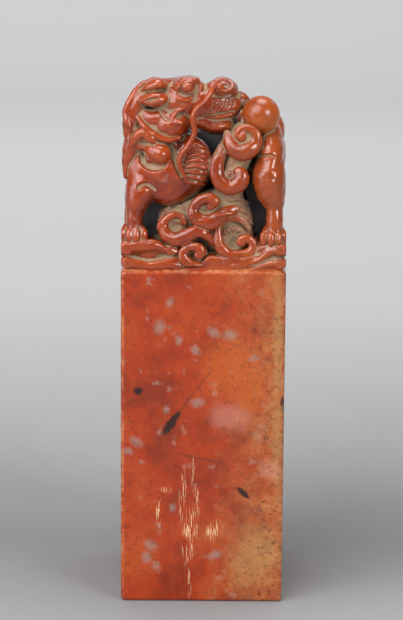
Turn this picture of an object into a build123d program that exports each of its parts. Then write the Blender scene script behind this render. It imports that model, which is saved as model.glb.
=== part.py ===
from build123d import *

import os
from math import atan2, cos, degrees, hypot, pi, radians, sin

# A square seal stamp of carved soapstone. A horned beast stands on rocks and clouds on its top,
# and looks back over its shoulder past a pearl. The real seal is one stone. Each node is one
# carved form of it, cut back to the faces of the forms beside it, and nothing on it moves.
# Millimetres, +Z up, the front of the carving towards -Y, the origin in the middle of the seal face.

# The stone blank
block_width = 30.0
block_depth = 30.0
block_height = 63.6
seal_height = 97.8
corner_radius = 0.8
shoulder_drop = 1.0

# The cut face that prints
face_thickness = 2.0
relief_depth = 0.8
relief_border = 1.6
relief_line = 1.2
relief_gap = 1.2
relief_turns = 6

# The rock shelves that the beast stands on
ledge_height = 2.5
ledge_inset = 0.5
ledge_round = 1.0
rock_height = 2.3
rock_inset = 0.3
rock_round = 0.7

# The cloud bank under the belly, and the clouds cut on its sides
bank_width = 17.0
bank_depth = 18.0
bank_height = 10.5
bank_round = 1.5
pad_depth = 3.6
high_pad_depth = 8.5
side_pad_depth = 5.6
ridge_share = 0.17
rim_share = 0.3
knob_share = 0.6
tail_share = 0.75
mane_slope_share = 0.12
mane_ease_share = 0.6
ridge_rise = 1.5
scroll_size = 5.4
large_scroll_size = 6.8
side_scroll_size = 7.8
cloud_inset = 3.1

# The body and limbs of the beast
torso_height = 12.4
torso_depth = 23.0
neck_width = 10.2
neck_depth = 19.0
foreleg_width = 6.2
foreleg_depth = 7.0
hind_leg_width = 5.4
hind_leg_depth = 7.4
paw_width = 3.8
paw_height = 2.2
paw_sink = 0.6
toe_width = 1.4
toe_length = 2.4
toe_top_share = 0.6
toe_count = 4
toe_fan_start = -24
toe_fan = 138
tail_width = 3.8
tail_depth = 3.6
spine_width = 1.8
spine_height = 2.2
pearl_diameter = 6.8

# The head
skull_height = 8.2
skull_depth = 9.8
nose_width = 5.0
nose_height = 3.6
jaw_depth = 6.6
jaw_height = 2.8
brow_width = 4.0
brow_height = 1.9
eye_diameter = 2.1
ear_height = 3.0
ear_depth = 2.8
ear_slit_length = 2.6
ear_slit_width = 0.5
cheek_height = 4.4
cheek_depth = 4.0
jowl_width = 1.5
jowl_depth = 3.0
curl_diameter = 4.2

# The mane, the whiskers and the fringe of the chest
mane_lock_width = 4.0
mane_lock_thickness = 3.0
neck_lock_width = 3.8
neck_lock_thickness = 2.6
throat_width = 2.0
throat_depth = 3.0
whisker_width = 1.0
whisker_depth = 2.4
fringe_width = 1.5
fringe_depth = 3.4

# A limb or a lock is cut with a knife, in this many facets round it
facet_count = 8

# A cut leaves crumbs of stone smaller than this share of their form, and they are brushed off
crumb_share = 0.04

half_width = block_width / 2
half_depth = block_depth / 2
carving_height = seal_height - block_height
depthways = (0, 1, 0)
forms = {}


def at(x_share, y_share, z_share):
    """A place by its shares of the half width, the half depth and the height of the carving."""
    return Vector(
        x_share * half_width,
        y_share * half_depth,
        block_height + z_share * carving_height,
    )


def mirrored(place_shares, about_share=0):
    """The same places on the far side, mirrored in depth about a share of the half depth."""
    return [(x, 2 * about_share - y, z) for x, y, z in place_shares]


def oval(width, depth):
    """Draws an oval section as a knife cuts it, in flat facets that touch the oval."""
    corners = []
    for i in range(facet_count):
        angle = pi * (2 * i + 1) / facet_count
        reach = 1 / cos(pi / facet_count)
        corners.append((depth / 2 * reach * cos(angle), width / 2 * reach * sin(angle)))
    Polygon(*corners)


def limb(route, fullness_shares, width, depth, side=depthways, round_start=True, round_end=True):
    """Joins oval sections along a route, depth measured along side, with both ends rounded off or left flat."""
    last = len(route) - 1
    rings = []
    for i, (place, fullness) in enumerate(zip(route, fullness_shares)):
        heading = (route[min(i + 1, last)] - route[max(i - 1, 0)]).normalized()
        reach = Vector(*side)
        reach = (reach - heading * reach.dot(heading)).normalized()
        rings.append((Plane(origin=place, x_dir=reach, z_dir=heading), fullness))
    cap_shares = ((sin(radians(60)), cos(radians(60))),)
    radius = min(width, depth) / 2
    first_plane, first_fullness = rings[0]
    last_plane, last_fullness = rings[-1]
    start = []
    end = []
    if round_start:
        for rise, size in reversed(cap_shares):
            start.append((first_plane.offset(-radius * first_fullness * rise), first_fullness * size))
    if round_end:
        for rise, size in cap_shares:
            end.append((last_plane.offset(radius * last_fullness * rise), last_fullness * size))
    with BuildPart() as made:
        for plane, fullness in start + rings + end:
            with BuildSketch(plane):
                oval(width * fullness, depth * fullness)
        loft(ruled=True)
    return made.part


def sticks_out(box):
    """Whether a form reaches past the sides or the top of the squared blank."""
    across = max(-box.min.X, box.max.X) > half_width
    deep = max(-box.min.Y, box.max.Y) > half_depth
    return across or deep or box.max.Z > seal_height


def keep(name, blank):
    """Cuts a form back to the blank and to the forms carved before it, brushes it off, and writes it."""
    reach = blank.bounding_box()
    with BuildPart() as piece:
        add(blank)
        if sticks_out(reach):
            add(stone, mode=Mode.INTERSECT)
        for other, box in forms.values():
            if reach.overlaps(box):
                add(other, mode=Mode.SUBTRACT)
    solids = piece.part.solids().sort_by(SortBy.VOLUME)
    smallest = solids[-1].volume * crumb_share
    with BuildPart() as form:
        for solid in solids:
            if solid.volume > smallest:
                add(solid)
    form.part.label = name
    forms[name] = (blank, reach)
    export_step(form.part, f"parts/{name}.step")
    print(name, len(form.part.solids()), round(form.part.volume, 1))


def keep_limb(name, place_shares, fullness_shares, width, depth, **options):
    """Makes one limb, lock or whisker from its places, and keeps it."""
    route = [at(*place) for place in place_shares]
    keep(name, limb(route, fullness_shares, width, depth, **options))


def facing(side):
    """The upright plane that a cloud is cut on, a cloud inset in from that side of the blank."""
    across, out = {
        "front": ((1, 0, 0), (0, -1, 0)),
        "back": ((-1, 0, 0), (0, 1, 0)),
        "left": ((0, -1, 0), (-1, 0, 0)),
        "right": ((0, 1, 0), (1, 0, 0)),
    }[side]
    reach = half_depth if side in ("front", "back") else half_width
    origin = Vector(*out) * (reach - cloud_inset)
    return Plane(origin=origin, x_dir=across, z_dir=out)


def cloud(name, side, centre_shares, size, half_turns, start_angle, depth, hand=1, tail_angle=0):
    """A cloud scroll: a round pad, and a ridge of half turns on it that winds to a knob in the middle."""
    plane = facing(side).offset(-depth)
    run = half_width if side in ("front", "back") else half_depth
    centre = Vector(centre_shares[0] * run, block_height + centre_shares[1] * carving_height)
    outward = Vector(cos(radians(start_angle)), sin(radians(start_angle)))
    ridge_width = size * ridge_share
    arc_radius = size / 2 - ridge_width * (0.5 + rim_share)
    narrowing = (arc_radius - ridge_width * knob_share) / (half_turns - 0.5)
    arc_centre = centre
    start = centre + outward * arc_radius
    with BuildPart() as made:
        with BuildSketch(plane):
            with Locations((centre.X, centre.Y)):
                Circle(size / 2)
        extrude(amount=depth)
        with BuildSketch(plane):
            with BuildLine() as line:
                if tail_angle:
                    along = Vector(outward.Y, -outward.X) * hand
                    JernArc(start, along, size * tail_share, -hand * tail_angle)
                for turn in range(half_turns):
                    angle = degrees(atan2(outward.Y, outward.X))
                    CenterArc(arc_centre, arc_radius, angle, hand * 180)
                    arc_centre = arc_centre - outward * narrowing
                    arc_radius -= narrowing
                    outward = outward * -1
            trace(line.line, line_width=ridge_width)
        extrude(amount=depth + ridge_rise)
    keep(name, made.part)


def paw(name, x_share, y_share):
    """A paw at a corner: a heel under the wrist and toes fanned round the corner, narrower at the top."""
    ankle = at(x_share, y_share, 0)
    out_x = 1 if x_share > 0 else -1
    out_y = 1 if y_share > 0 else -1
    sole = Plane.XY.offset(rock_bottom + rock_height - paw_sink)
    lumps = [((ankle.X, ankle.Y, 0), paw_width, paw_width, 0)]
    for i in range(toe_count):
        angle = radians(toe_fan_start + toe_fan * i / (toe_count - 1))
        out = Vector(out_x * sin(angle), out_y * cos(angle))
        toe = Vector(ankle.X, ankle.Y) + out * (paw_width / 2)
        lumps.append(((toe.X, toe.Y, 0), toe_width, toe_length, degrees(atan2(out.Y, out.X))))
    with BuildPart() as made:
        for place, width, length, turned in lumps:
            for level, fullness in ((sole, 1), (sole.offset(paw_height + paw_sink), toe_top_share)):
                with BuildSketch(level):
                    with Locations(Location(place, (0, 0, turned))):
                        oval(width * fullness, length * fullness)
            loft(ruled=True)
    keep(name, made.part)


os.makedirs("parts", exist_ok=True)

# The squared blank, which nothing that is carved from it can stand out of
with BuildPart() as whole_blank:
    with BuildSketch():
        Rectangle(block_width, block_depth)
    extrude(amount=seal_height)
stone = whole_blank.part
rock_bottom = block_height + ledge_height

# The seal face: a border round four square spirals of raised line, a common fret
window = block_width - 2 * corner_radius - 2 * relief_border
fret_pitch = relief_line + relief_gap
with BuildPart() as seal_face:
    with BuildSketch():
        RectangleRounded(block_width, block_depth, corner_radius)
    extrude(amount=face_thickness)
    with BuildSketch() as recess:
        Rectangle(window, block_depth - 2 * corner_radius - 2 * relief_border)
        for turned in (0, 1, 2, 3):
            spiral = [Vector(0, 0)]
            heading = Vector(1, 0)
            length = fret_pitch
            for leg in range(relief_turns):
                spiral.append(spiral[-1] + heading * length)
                heading = Vector(-heading.Y, heading.X)
                length += fret_pitch * (leg % 2)
            middle = Vector(window / 4, window / 4) - (spiral[-1] + spiral[-3]) / 2
            spiral = [(place + middle).rotate(Axis.Z, 90 * turned) for place in spiral]
            with BuildLine() as line:
                Polyline(*[(place.X, place.Y) for place in spiral])
            trace(line.line, line_width=relief_line, mode=Mode.SUBTRACT)
    extrude(amount=relief_depth, mode=Mode.SUBTRACT)
keep("seal_face", seal_face.part)

# The grip block, with its edges eased and its shoulder cut down for the carving
with BuildPart() as grip_block:
    with BuildSketch(Plane.XY.offset(face_thickness)):
        RectangleRounded(block_width, block_depth, corner_radius)
    extrude(amount=block_height - face_thickness)
    chamfer(grip_block.faces().sort_by(Axis.Z)[-1].edges(), shoulder_drop * 0.8)
keep("grip_block", grip_block.part)

# The lower shelf of rock, a rounded band right round the block
with BuildPart() as rock_ledge:
    with BuildSketch(Plane.XY.offset(block_height)):
        RectangleRounded(block_width - 2 * ledge_inset, block_depth - 2 * ledge_inset, corner_radius * 2)
    extrude(amount=ledge_height)
    rims = rock_ledge.faces().filter_by(Axis.Z).edges()
    fillet(rims, ledge_round)
keep("rock_ledge", rock_ledge.part)

# The two upper rocks, whose backs slope down to the clouds in the middle
rock_edge = half_width - rock_inset
left_shares = ((0.0, 1.0), (0.36, 1.0), (0.62, 0.62), (0.8, 0.0))
right_shares = ((0.0, 1.0), (0.26, 0.96), (0.5, 0.5), (0.72, 0.0))
for name, direction, outline_shares in (("left_rock", -1, left_shares), ("right_rock", 1, right_shares)):
    outline = []
    for run, rise in outline_shares:
        outline.append((direction * (rock_edge - run * half_width), rock_bottom + rise * rock_height))
    with BuildPart() as rock:
        with BuildSketch(Plane.XZ.offset(-half_depth + rock_inset)):
            with BuildLine():
                Spline(*outline)
                Polyline(outline[-1], (outline[0][0], rock_bottom), outline[0])
            make_face()
        extrude(amount=block_depth - 2 * rock_inset)
        top_face = rock.faces().sort_by(Axis.Z)[-1]
        fillet(top_face.edges(), rock_round)
    keep(name, rock.part)

# The bank of stone left under the belly, which the clouds are cut on
with BuildPart() as cloud_bank:
    with BuildSketch(Plane.XY.offset(rock_bottom)):
        RectangleRounded(bank_width, bank_depth, bank_round)
    extrude(amount=bank_height)
    fillet(cloud_bank.faces().sort_by(Axis.Z)[-1].edges(), bank_round)
keep("cloud_bank", cloud_bank.part)

# The torso, full at the shoulders and the rump and drawn in at the waist
torso_shares = (
    (-0.72, 0.0, 0.54), (-0.58, 0.0, 0.53), (-0.28, 0.0, 0.52), (0.06, 0.03, 0.53),
    (0.4, 0.03, 0.54), (0.64, 0.0, 0.55), (0.74, 0.0, 0.53),
)
keep_limb("torso", torso_shares, (0.62, 1, 0.95, 0.56, 0.5, 0.82, 0.66), torso_height, torso_depth)

# The neck, rising at the left and thickest behind the ears
neck_shares = ((-0.46, -0.05, 0.56), (-0.52, -0.08, 0.68), (-0.52, -0.12, 0.79), (-0.46, -0.16, 0.87))
keep_limb("neck", neck_shares, (0.9, 1, 0.98, 0.7), neck_width, neck_depth)

# The four legs, narrow at the wrist, with a paw on the rock at each corner
foreleg_shares = (
    (-0.66, -0.56, 0.51), (-0.75, -0.68, 0.42), (-0.8, -0.76, 0.34), (-0.845, -0.8, 0.27),
    (-0.85, -0.81, 0.2),
)
foreleg_fullness_shares = (1, 0.96, 0.74, 0.5, 0.48)
hind_leg_shares = (
    (0.78, -0.56, 0.67), (0.79, -0.63, 0.6), (0.8, -0.7, 0.47), (0.82, -0.77, 0.33),
    (0.83, -0.8, 0.2),
)
hind_leg_fullness_shares = (0.78, 0.88, 1, 0.86, 0.62)
for side, flip in (("near", 1), ("far", -1)):
    front_leg = [(x, y * flip, z) for x, y, z in foreleg_shares]
    rear_leg = [(x, y * flip, z) for x, y, z in hind_leg_shares]
    keep_limb(f"{side}_foreleg", front_leg, foreleg_fullness_shares, foreleg_width, foreleg_depth)
    keep_limb(f"{side}_hind_leg", rear_leg, hind_leg_fullness_shares, hind_leg_width, hind_leg_depth)
    paw(f"{side}_fore_paw", front_leg[-1][0], front_leg[-1][1])
    paw(f"{side}_hind_paw", rear_leg[-1][0], rear_leg[-1][1])

# The head in profile: skull and upper jaw in one, then the lower jaw, the nose and the brow
head_side_share = -0.49
skull_shares = (
    (-0.52, -0.45, 0.84), (-0.28, -0.48, 0.865), (-0.05, -0.49, 0.86), (0.16, -0.5, 0.86),
    (0.3, -0.5, 0.855),
)
keep_limb("skull", skull_shares, (0.86, 1, 0.84, 0.72, 0.66), skull_height, skull_depth)
jaw_shares = ((-0.3, -0.49, 0.8), (-0.05, -0.49, 0.77), (0.16, -0.49, 0.765), (0.31, -0.5, 0.785))
keep_limb("lower_jaw", jaw_shares, (1, 1, 0.92, 0.7), jaw_height, jaw_depth)
nose_shares = ((0.23, -0.72, 0.94), (0.245, -0.6, 0.947), (0.245, -0.38, 0.947), (0.23, -0.26, 0.94))
keep_limb("nose", nose_shares, (0.8, 1, 1, 0.8), nose_width, nose_height, side=(0, 0, 1))
brow_shares = ((-0.19, -0.74, 0.955), (-0.17, -0.6, 0.968), (-0.17, -0.38, 0.968), (-0.19, -0.24, 0.955))
keep_limb("brow", brow_shares, (0.8, 1, 1, 0.8), brow_width, brow_height, side=(0, 0, 1))

# The eyes, small balls under the brow
for side, y_share in (("near", -0.76), ("far", -0.22)):
    with BuildPart() as eye:
        with BuildSketch(Plane.XZ.offset(-at(0, y_share, 0).Y)) as half_disc:
            with Locations((at(-0.215, 0, 0).X, at(0, 0, 0.93).Z)):
                Circle(eye_diameter / 2)
                Rectangle(eye_diameter, eye_diameter, align=(Align.MAX, Align.CENTER), mode=Mode.SUBTRACT)
        revolve(axis=Axis(at(-0.215, y_share, 0.93), (0, 0, 1)))
    keep(f"{side}_eye", eye.part)

# The ears, leaf shaped and slit
ear_shares = ((-0.8, -0.77, 0.865), (-0.72, -0.8, 0.88), (-0.62, -0.82, 0.89), (-0.52, -0.79, 0.895))
far_ear_shares = ((-0.76, 0.04, 0.93), (-0.68, 0.06, 0.95), (-0.58, 0.05, 0.96), (-0.48, 0.02, 0.955))
for side in ("near", "far"):
    places = ear_shares if side == "near" else far_ear_shares
    route = [at(*place) for place in places]
    out = -1 if side == "near" else 1
    leaf = limb(route, (0.4, 0.85, 1, 0.8), ear_height, ear_depth)
    slit_plane = Plane(origin=(route[2] + route[1]) / 2, x_dir=(1, 0, 0.15), z_dir=(0, out, 0))
    with BuildPart() as ear:
        add(leaf)
        with BuildSketch(slit_plane.offset(ear_depth / 4)):
            Ellipse(ear_slit_length / 2, ear_slit_width / 2)
        extrude(amount=ear_depth, mode=Mode.SUBTRACT)
    keep(f"{side}_ear", ear.part)

# The cheek, the jowl fold under it and the curl on the shoulder
cheek_shares = ((-0.58, -0.74, 0.765), (-0.43, -0.76, 0.75), (-0.28, -0.75, 0.76), (-0.2, -0.72, 0.785))
keep_limb("cheek", cheek_shares, (0.66, 1, 0.84, 0.5), cheek_height, cheek_depth)
jowl_shares = (
    (-0.8, -0.72, 0.8), (-0.76, -0.77, 0.71), (-0.61, -0.8, 0.655), (-0.42, -0.81, 0.64),
    (-0.24, -0.79, 0.665),
)
keep_limb("jowl_fold", jowl_shares, (0.7, 1, 1, 1, 0.7), jowl_width, jowl_depth)
curl_shares = ((-0.77, -0.76, 0.625), (-0.68, -0.8, 0.615), (-0.57, -0.82, 0.6), (-0.5, -0.8, 0.585))
for side in ("near", "far"):
    places = curl_shares if side == "near" else mirrored(curl_shares)
    keep_limb(f"{side}_shoulder_curl", places, (0.55, 0.85, 1, 0.8), curl_diameter, curl_diameter)

# The mane: locks that part at the crest and fall over the back of the neck in two tiers
spread = 1.12
lock_shares = (-0.6, -0.3, 0.0, 0.3, 0.6)
for number, y_share in enumerate(lock_shares, start=1):
    fall = mane_slope_share * (y_share - lock_shares[0])
    upper = (
        (-0.45, y_share, 0.955 - fall), (-0.67, y_share, 0.93 - fall),
        (-0.84, y_share * spread, 0.86 - fall * mane_ease_share),
        (-0.9, y_share * spread, 0.77), (-0.9, y_share * spread, 0.725),
    )
    keep_limb(f"mane_lock_{number}", upper, (0.7, 1, 1, 0.85, 0.55), mane_lock_thickness, mane_lock_width)
for number, y_share in enumerate(lock_shares, start=1):
    lower = (
        (-0.88, y_share * spread, 0.735), (-0.91, y_share * spread, 0.65),
        (-0.92, y_share * spread, 0.56), (-0.93, y_share * spread, 0.49),
    )
    keep_limb(f"neck_lock_{number}", lower, (0.8, 1, 0.9, 0.4), neck_lock_thickness, neck_lock_width)

# The whiskers, which leave the lip and fall past the jaw, and the smooth throat beside the near one
whisker_shares = (
    (0.1, -0.8, 0.945), (-0.09, -0.84, 0.855), (-0.155, -0.84, 0.8), (-0.135, -0.86, 0.71),
    (-0.26, -0.87, 0.62), (-0.31, -0.87, 0.56), (-0.235, -0.86, 0.475),
)
whisker_fullness_shares = (0.7, 1, 1, 1, 1, 1, 0.6)
throat_shares = ((-0.36, -0.76, 0.68), (-0.33, -0.79, 0.6), (-0.28, -0.8, 0.53), (-0.24, -0.8, 0.47))
keep_limb("near_whisker", whisker_shares, whisker_fullness_shares, whisker_width, whisker_depth)
far_whisker = mirrored(whisker_shares[:4], head_side_share)
keep_limb("far_whisker", far_whisker, whisker_fullness_shares[:4], whisker_width, whisker_depth)
keep_limb("throat", throat_shares, (0.8, 1, 0.9, 0.6), throat_width, throat_depth)

# The fringe on the chest, a fan of pointed locks that spread from the whisker
fringe_root_shares = (-0.22, -0.9, 0.6)
fringe_tip_shares = (
    (0.02, 0.63), (0.08, 0.595), (0.115, 0.55), (0.1, 0.505), (0.05, 0.465), (-0.02, 0.44),
)
root = at(*fringe_root_shares)
with BuildPart() as chest_fringe:
    with BuildSketch(Plane.XZ.offset(-root.Y)):
        for x_share, z_share in fringe_tip_shares:
            tip = at(x_share, fringe_root_shares[1], z_share)
            run, rise = tip.X - root.X, tip.Z - root.Z
            middle = ((root.X + tip.X) / 2, (root.Z + tip.Z) / 2)
            with Locations(Location((*middle, 0), (0, 0, degrees(atan2(rise, run))))):
                Ellipse(hypot(run, rise) / 2, fringe_width / 2)
    extrude(amount=-fringe_depth)
keep("chest_fringe", chest_fringe.part)

# The pearl over the rump, and the tail that comes up behind it
pearl_middle = at(0.68, -0.63, 0.8)
with BuildPart() as pearl:
    with BuildSketch(Plane.XZ.offset(-pearl_middle.Y)):
        with Locations((pearl_middle.X, pearl_middle.Z)):
            Circle(pearl_diameter / 2)
            Rectangle(pearl_diameter, pearl_diameter, align=(Align.MAX, Align.CENTER), mode=Mode.SUBTRACT)
    revolve(axis=Axis(pearl_middle, (0, 0, 1)))
keep("pearl", pearl.part)
tail_shares = (
    (0.8, 0.1, 0.55), (0.87, 0.3, 0.62), (0.84, 0.48, 0.68), (0.66, 0.5, 0.7), (0.5, 0.34, 0.69),
    (0.46, 0.16, 0.65),
)
keep_limb("tail", tail_shares, (0.9, 1, 1, 1, 1, 0.9), tail_width, tail_depth)

# The ridge of the spine, from the mane to the tail
spine_shares = ((-0.2, 0.12, 0.7), (0.06, 0.14, 0.645), (0.36, 0.14, 0.635), (0.66, 0.12, 0.69))
keep_limb("spine_ridge", spine_shares, (1, 1, 1, 1), spine_height, spine_width)

# The clouds, front, back and sides, in the order that they lie over each other
cloud("front_cloud_1", "front", (0.445, 0.68), scroll_size, 3, 200, high_pad_depth)
cloud("front_cloud_2", "front", (0.33, 0.475), scroll_size * 0.85, 2, 170, high_pad_depth, 1, 50)
cloud("front_cloud_3", "front", (0.06, 0.32), scroll_size * 0.9, 2, 270, pad_depth, -1, 70)
cloud("front_cloud_4", "front", (-0.32, 0.22), scroll_size, 3, 270, pad_depth, -1, 70)
cloud("front_cloud_5", "front", (-0.07, 0.085), scroll_size * 0.9, 2, 330, pad_depth)
cloud("front_cloud_6", "front", (0.36, 0.145), large_scroll_size, 3, 60, pad_depth)
cloud("back_cloud_1", "back", (-0.3, 0.65), scroll_size, 3, 20, high_pad_depth, -1)
cloud("back_cloud_2", "back", (0.3, 0.3), large_scroll_size, 3, 200, pad_depth)
cloud("back_cloud_3", "back", (-0.2, 0.34), scroll_size, 3, 340, pad_depth, -1)
cloud("back_cloud_4", "back", (-0.37, 0.145), scroll_size, 3, 135, pad_depth, -1)
cloud("back_cloud_5", "back", (0.12, 0.1), scroll_size, 3, 250, pad_depth)
cloud("left_cloud", "left", (0.0, 0.18), side_scroll_size, 3, 230, side_pad_depth)
cloud("right_cloud", "right", (0.0, 0.19), side_scroll_size, 3, 310, side_pad_depth, -1)
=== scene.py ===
# A square seal stamp of reddish soapstone. The tall polished grip block carries a horned beast,
# carved in the round, that stands on rocks and clouds and looks back past a pearl.
import math

import bpy
import numpy as np
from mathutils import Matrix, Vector


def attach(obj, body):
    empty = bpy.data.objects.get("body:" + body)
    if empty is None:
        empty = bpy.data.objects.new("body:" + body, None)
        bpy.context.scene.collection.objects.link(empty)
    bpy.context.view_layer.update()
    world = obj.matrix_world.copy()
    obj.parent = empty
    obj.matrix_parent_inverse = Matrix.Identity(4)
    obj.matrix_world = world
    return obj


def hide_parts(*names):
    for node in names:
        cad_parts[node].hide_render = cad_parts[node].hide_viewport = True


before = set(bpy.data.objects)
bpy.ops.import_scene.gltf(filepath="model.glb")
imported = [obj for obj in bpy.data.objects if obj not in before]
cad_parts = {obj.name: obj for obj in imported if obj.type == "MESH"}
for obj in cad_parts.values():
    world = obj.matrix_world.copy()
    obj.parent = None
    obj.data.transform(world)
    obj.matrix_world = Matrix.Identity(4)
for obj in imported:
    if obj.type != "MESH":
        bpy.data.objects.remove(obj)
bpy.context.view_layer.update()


# The grip block: one squared prism of mottled soapstone, sawn, rubbed flat on wet grit and waxed.
# Its edges are eased by handling, its shoulder slopes up to the carving, and its underside is
# the printing face, with a raised fret inside a border.
MM = 0.001
block_half = 15.0
block_top = 63.6
corner_radius = 0.8


def add(material, kind, fills=None, stops=None, **settings):
    """Adds one node with its settings. Its inputs take values, nodes, or a node and an output's name."""
    made = material.node_tree.nodes.new("ShaderNode" + kind)
    for name, value in settings.items():
        setattr(made, name, value)
    for name, value in (fills or {}).items():
        if isinstance(name, int):
            socket = made.inputs[name]
        else:
            socket = next(s for s in made.inputs if s.enabled and name in (s.identifier, s.name))
        if isinstance(value, bpy.types.Node):
            value = next(s for s in value.outputs if s.enabled)
        elif isinstance(value, tuple) and isinstance(value[0], bpy.types.Node):
            value = value[0].outputs[value[1]]
        if isinstance(value, bpy.types.NodeSocket):
            material.node_tree.links.new(value, socket)
        else:
            socket.default_value = value
    for number, (place, colour) in enumerate(stops or ()):
        ramp = made.color_ramp.elements
        stop = ramp[number] if number < 2 else ramp.new(place)
        stop.position, stop.color = place, colour
    return made


def paint(code, alpha=1.0):
    """The linear colour that a shader takes, from an sRGB hex code."""
    parts = [int(code[i : i + 2], 16) / 255 for i in (1, 3, 5)]
    return (*[p / 12.92 if p <= 0.04045 else ((p + 0.055) / 1.055) ** 2.4 for p in parts], alpha)


def grey(value):
    """A grey for a mask's ramp."""
    return (value, value, value, 1.0)


def new_material(name):
    """An empty node material, and its surface shader wired to the output."""
    material = bpy.data.materials.new(name)
    material.use_nodes = True
    material.node_tree.nodes.clear()
    shader = material.node_tree.nodes.new("ShaderNodeBsdfPrincipled")
    output = material.node_tree.nodes.new("ShaderNodeOutputMaterial")
    material.node_tree.links.new(shader.outputs["BSDF"], output.inputs["Surface"])
    return material, shader


def feed(shader, name, made):
    """Links a node into one input of the surface shader."""
    shader.id_data.links.new(next(s for s in made.outputs if s.enabled), shader.inputs[name])


def mix(material, factor, under, over):
    """One colour laid over another by a mask."""
    fills = {"Factor_Float": factor, "A_Color": under, "B_Color": over}
    return add(material, "Mix", fills, data_type="RGBA")


def maths(material, operation, *values, **settings):
    """A sum worked out on values, nodes, or a node and an output's name."""
    return add(material, "Math", dict(enumerate(values)), operation=operation, **settings)


def noise(material, spot, scale, detail, roughness):
    """A noise over a place. Its scale is the number of features to a unit of that place."""
    fills = {"Vector": spot, "Scale": scale, "Detail": detail, "Roughness": roughness}
    return add(material, "TexNoise", fills)


def remap(material, value, start, end, low=0.0, high=1.0, **settings):
    """Moves a value from the range of start and end to that of low and high, and stops at both."""
    fills = {"Value": value, "From Min": start, "From Max": end, "To Min": low, "To Max": high}
    return add(material, "MapRange", fills, **settings)


def faded(material, factor, start, end, strength=1.0):
    """A mask that fades in between two values of a noise."""
    return add(material, "ValToRGB", {"Fac": factor}, [(start, grey(0.0)), (end, grey(strength))])


def ragged(material, spot, scale, amount):
    """The place in mm, pushed about by a noise, for edges that aren't drawn with compasses."""
    pushes = (noise(material, spot, scale, 4.0, 0.65), "Color")
    pushed = add(material, "VectorMath", {0: pushes, 1: (0.5, 0.5, 0.5)}, operation="SUBTRACT")
    return add(material, "VectorMath", {0: pushed, 1: (amount,) * 3, 2: spot}, operation="MULTIPLY_ADD")


def inclusion(material, spot, under, colour, places, soft, strength=1.0, y=-14.8):
    """Colours lens-shaped bodies in the stone's front: middle x and z, half sizes, and a turn about y."""
    half_deep = 2.0
    nearest = None
    for x, z, half_x, half_z, turn in places:
        fills = {"Vector": spot, "Location": (x, y, z), "Rotation": (0.0, math.radians(turn), 0.0)}
        fills["Scale"] = (half_x, half_deep, half_z)
        local = add(material, "Mapping", fills, vector_type="TEXTURE")
        reach = (add(material, "VectorMath", {0: local}, operation="LENGTH"), "Value")
        nearest = maths(material, "MINIMUM", nearest, reach) if nearest else reach
    ease = "SMOOTHSTEP"
    mask = remap(material, nearest, 1.0 + soft, 1.0 - soft, 0.0, strength, interpolation_type=ease)
    return mix(material, mask, under, colour)


def mottled_stone(material, red, deep, warm):
    """The stone's own colour: clouded reds with warm streaks, milky quartz eyes and dark iron specks."""
    coords = add(material, "TexCoord")
    spot = add(material, "VectorMath", {"Vector": (coords, "Object"), "Scale": 1 / MM}, operation="SCALE")
    broad = noise(material, spot, 0.11, 5.0, 0.6)
    clouded = add(material, "ValToRGB", {"Fac": broad}, [(0.36, deep), (0.5, red), (0.74, warm)])
    grain = noise(material, spot, 0.75, 7.0, 0.72)
    grained = mix(material, faded(material, grain, 0.52, 0.8, 0.55), clouded, warm)
    dark_grain = add(material, "ValToRGB", {"Fac": grain}, [(0.28, grey(0.7)), (0.46, grey(0.0))])
    browned = mix(material, dark_grain, grained, deep)
    eyes = noise(material, spot, 0.36, 3.0, 0.5)
    milky = mix(material, faded(material, eyes, 0.64, 0.73, 0.5), browned, paint("#A58273"))
    specks = noise(material, spot, 1.7, 3.0, 0.6)
    return spot, mix(material, faded(material, specks, 0.685, 0.73, 0.85), milky, paint("#35150D"))


# Polished soapstone: waxed and rubbed to a soft gloss. The eye gets clear reds and oranges under
# a thin shine, quartz eyes like milk drops, and pale bruises where tools have scraped the front.
polished, polished_shader = new_material("polished_mottled_soapstone")
spot, stone_colour = mottled_stone(polished, paint("#A43305"), paint("#842806"), paint("#B34A16"))
split = add(polished, "SeparateXYZ", {"Vector": spot})
rough_spot = ragged(polished, spot, 0.45, 3.4)
fine_spot = ragged(polished, spot, 1.1, 1.1)

# the stone's right side runs into ochre and dull pink, widest near the foot
wander = noise(polished, spot, 0.13, 7.0, 0.68)
sideways = maths(polished, "MULTIPLY_ADD", wander, 24.0, (split, "X"))
lower = maths(polished, "MULTIPLY_ADD", (split, "Z"), -0.085, sideways)
seam = remap(polished, lower, 11.0, 24.0, 0.0, 0.75)
streaks = noise(polished, spot, 0.5, 7.0, 0.7)
ochre_stops = [(0.34, paint("#8C4222")), (0.5, paint("#B0622F")), (0.68, paint("#C08A55"))]
ochres = add(polished, "ValToRGB", {"Fac": streaks}, ochre_stops)
toned = mix(polished, seam, stone_colour, ochres)
blots = [
    # warm orange, ochre, then dull pink
    ("#BE5A1C", [(5.0, 45.0, 5.2, 5.6, 0), (8.5, 42, 2.6, 7.0, 0)], 0.5, 0.6),
    ("#AE7D48", [
        (10.0, 9.0, 4.2, 5.6, 20), (13.6, 50.0, 0.9, 13.0, 0), (13.8, 30.0, 1.0, 8.0, 0),
    ], 0.6, 0.68),
    ("#C58470", [(4.9, 35.7, 3.6, 2.6, 5), (12.6, 25.5, 2.2, 1.5, 30)], 0.5, 0.45),
]
for code, places, soft, strength in blots:
    toned = inclusion(polished, rough_spot, toned, paint(code), places, soft, strength, y=-14.6)
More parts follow.
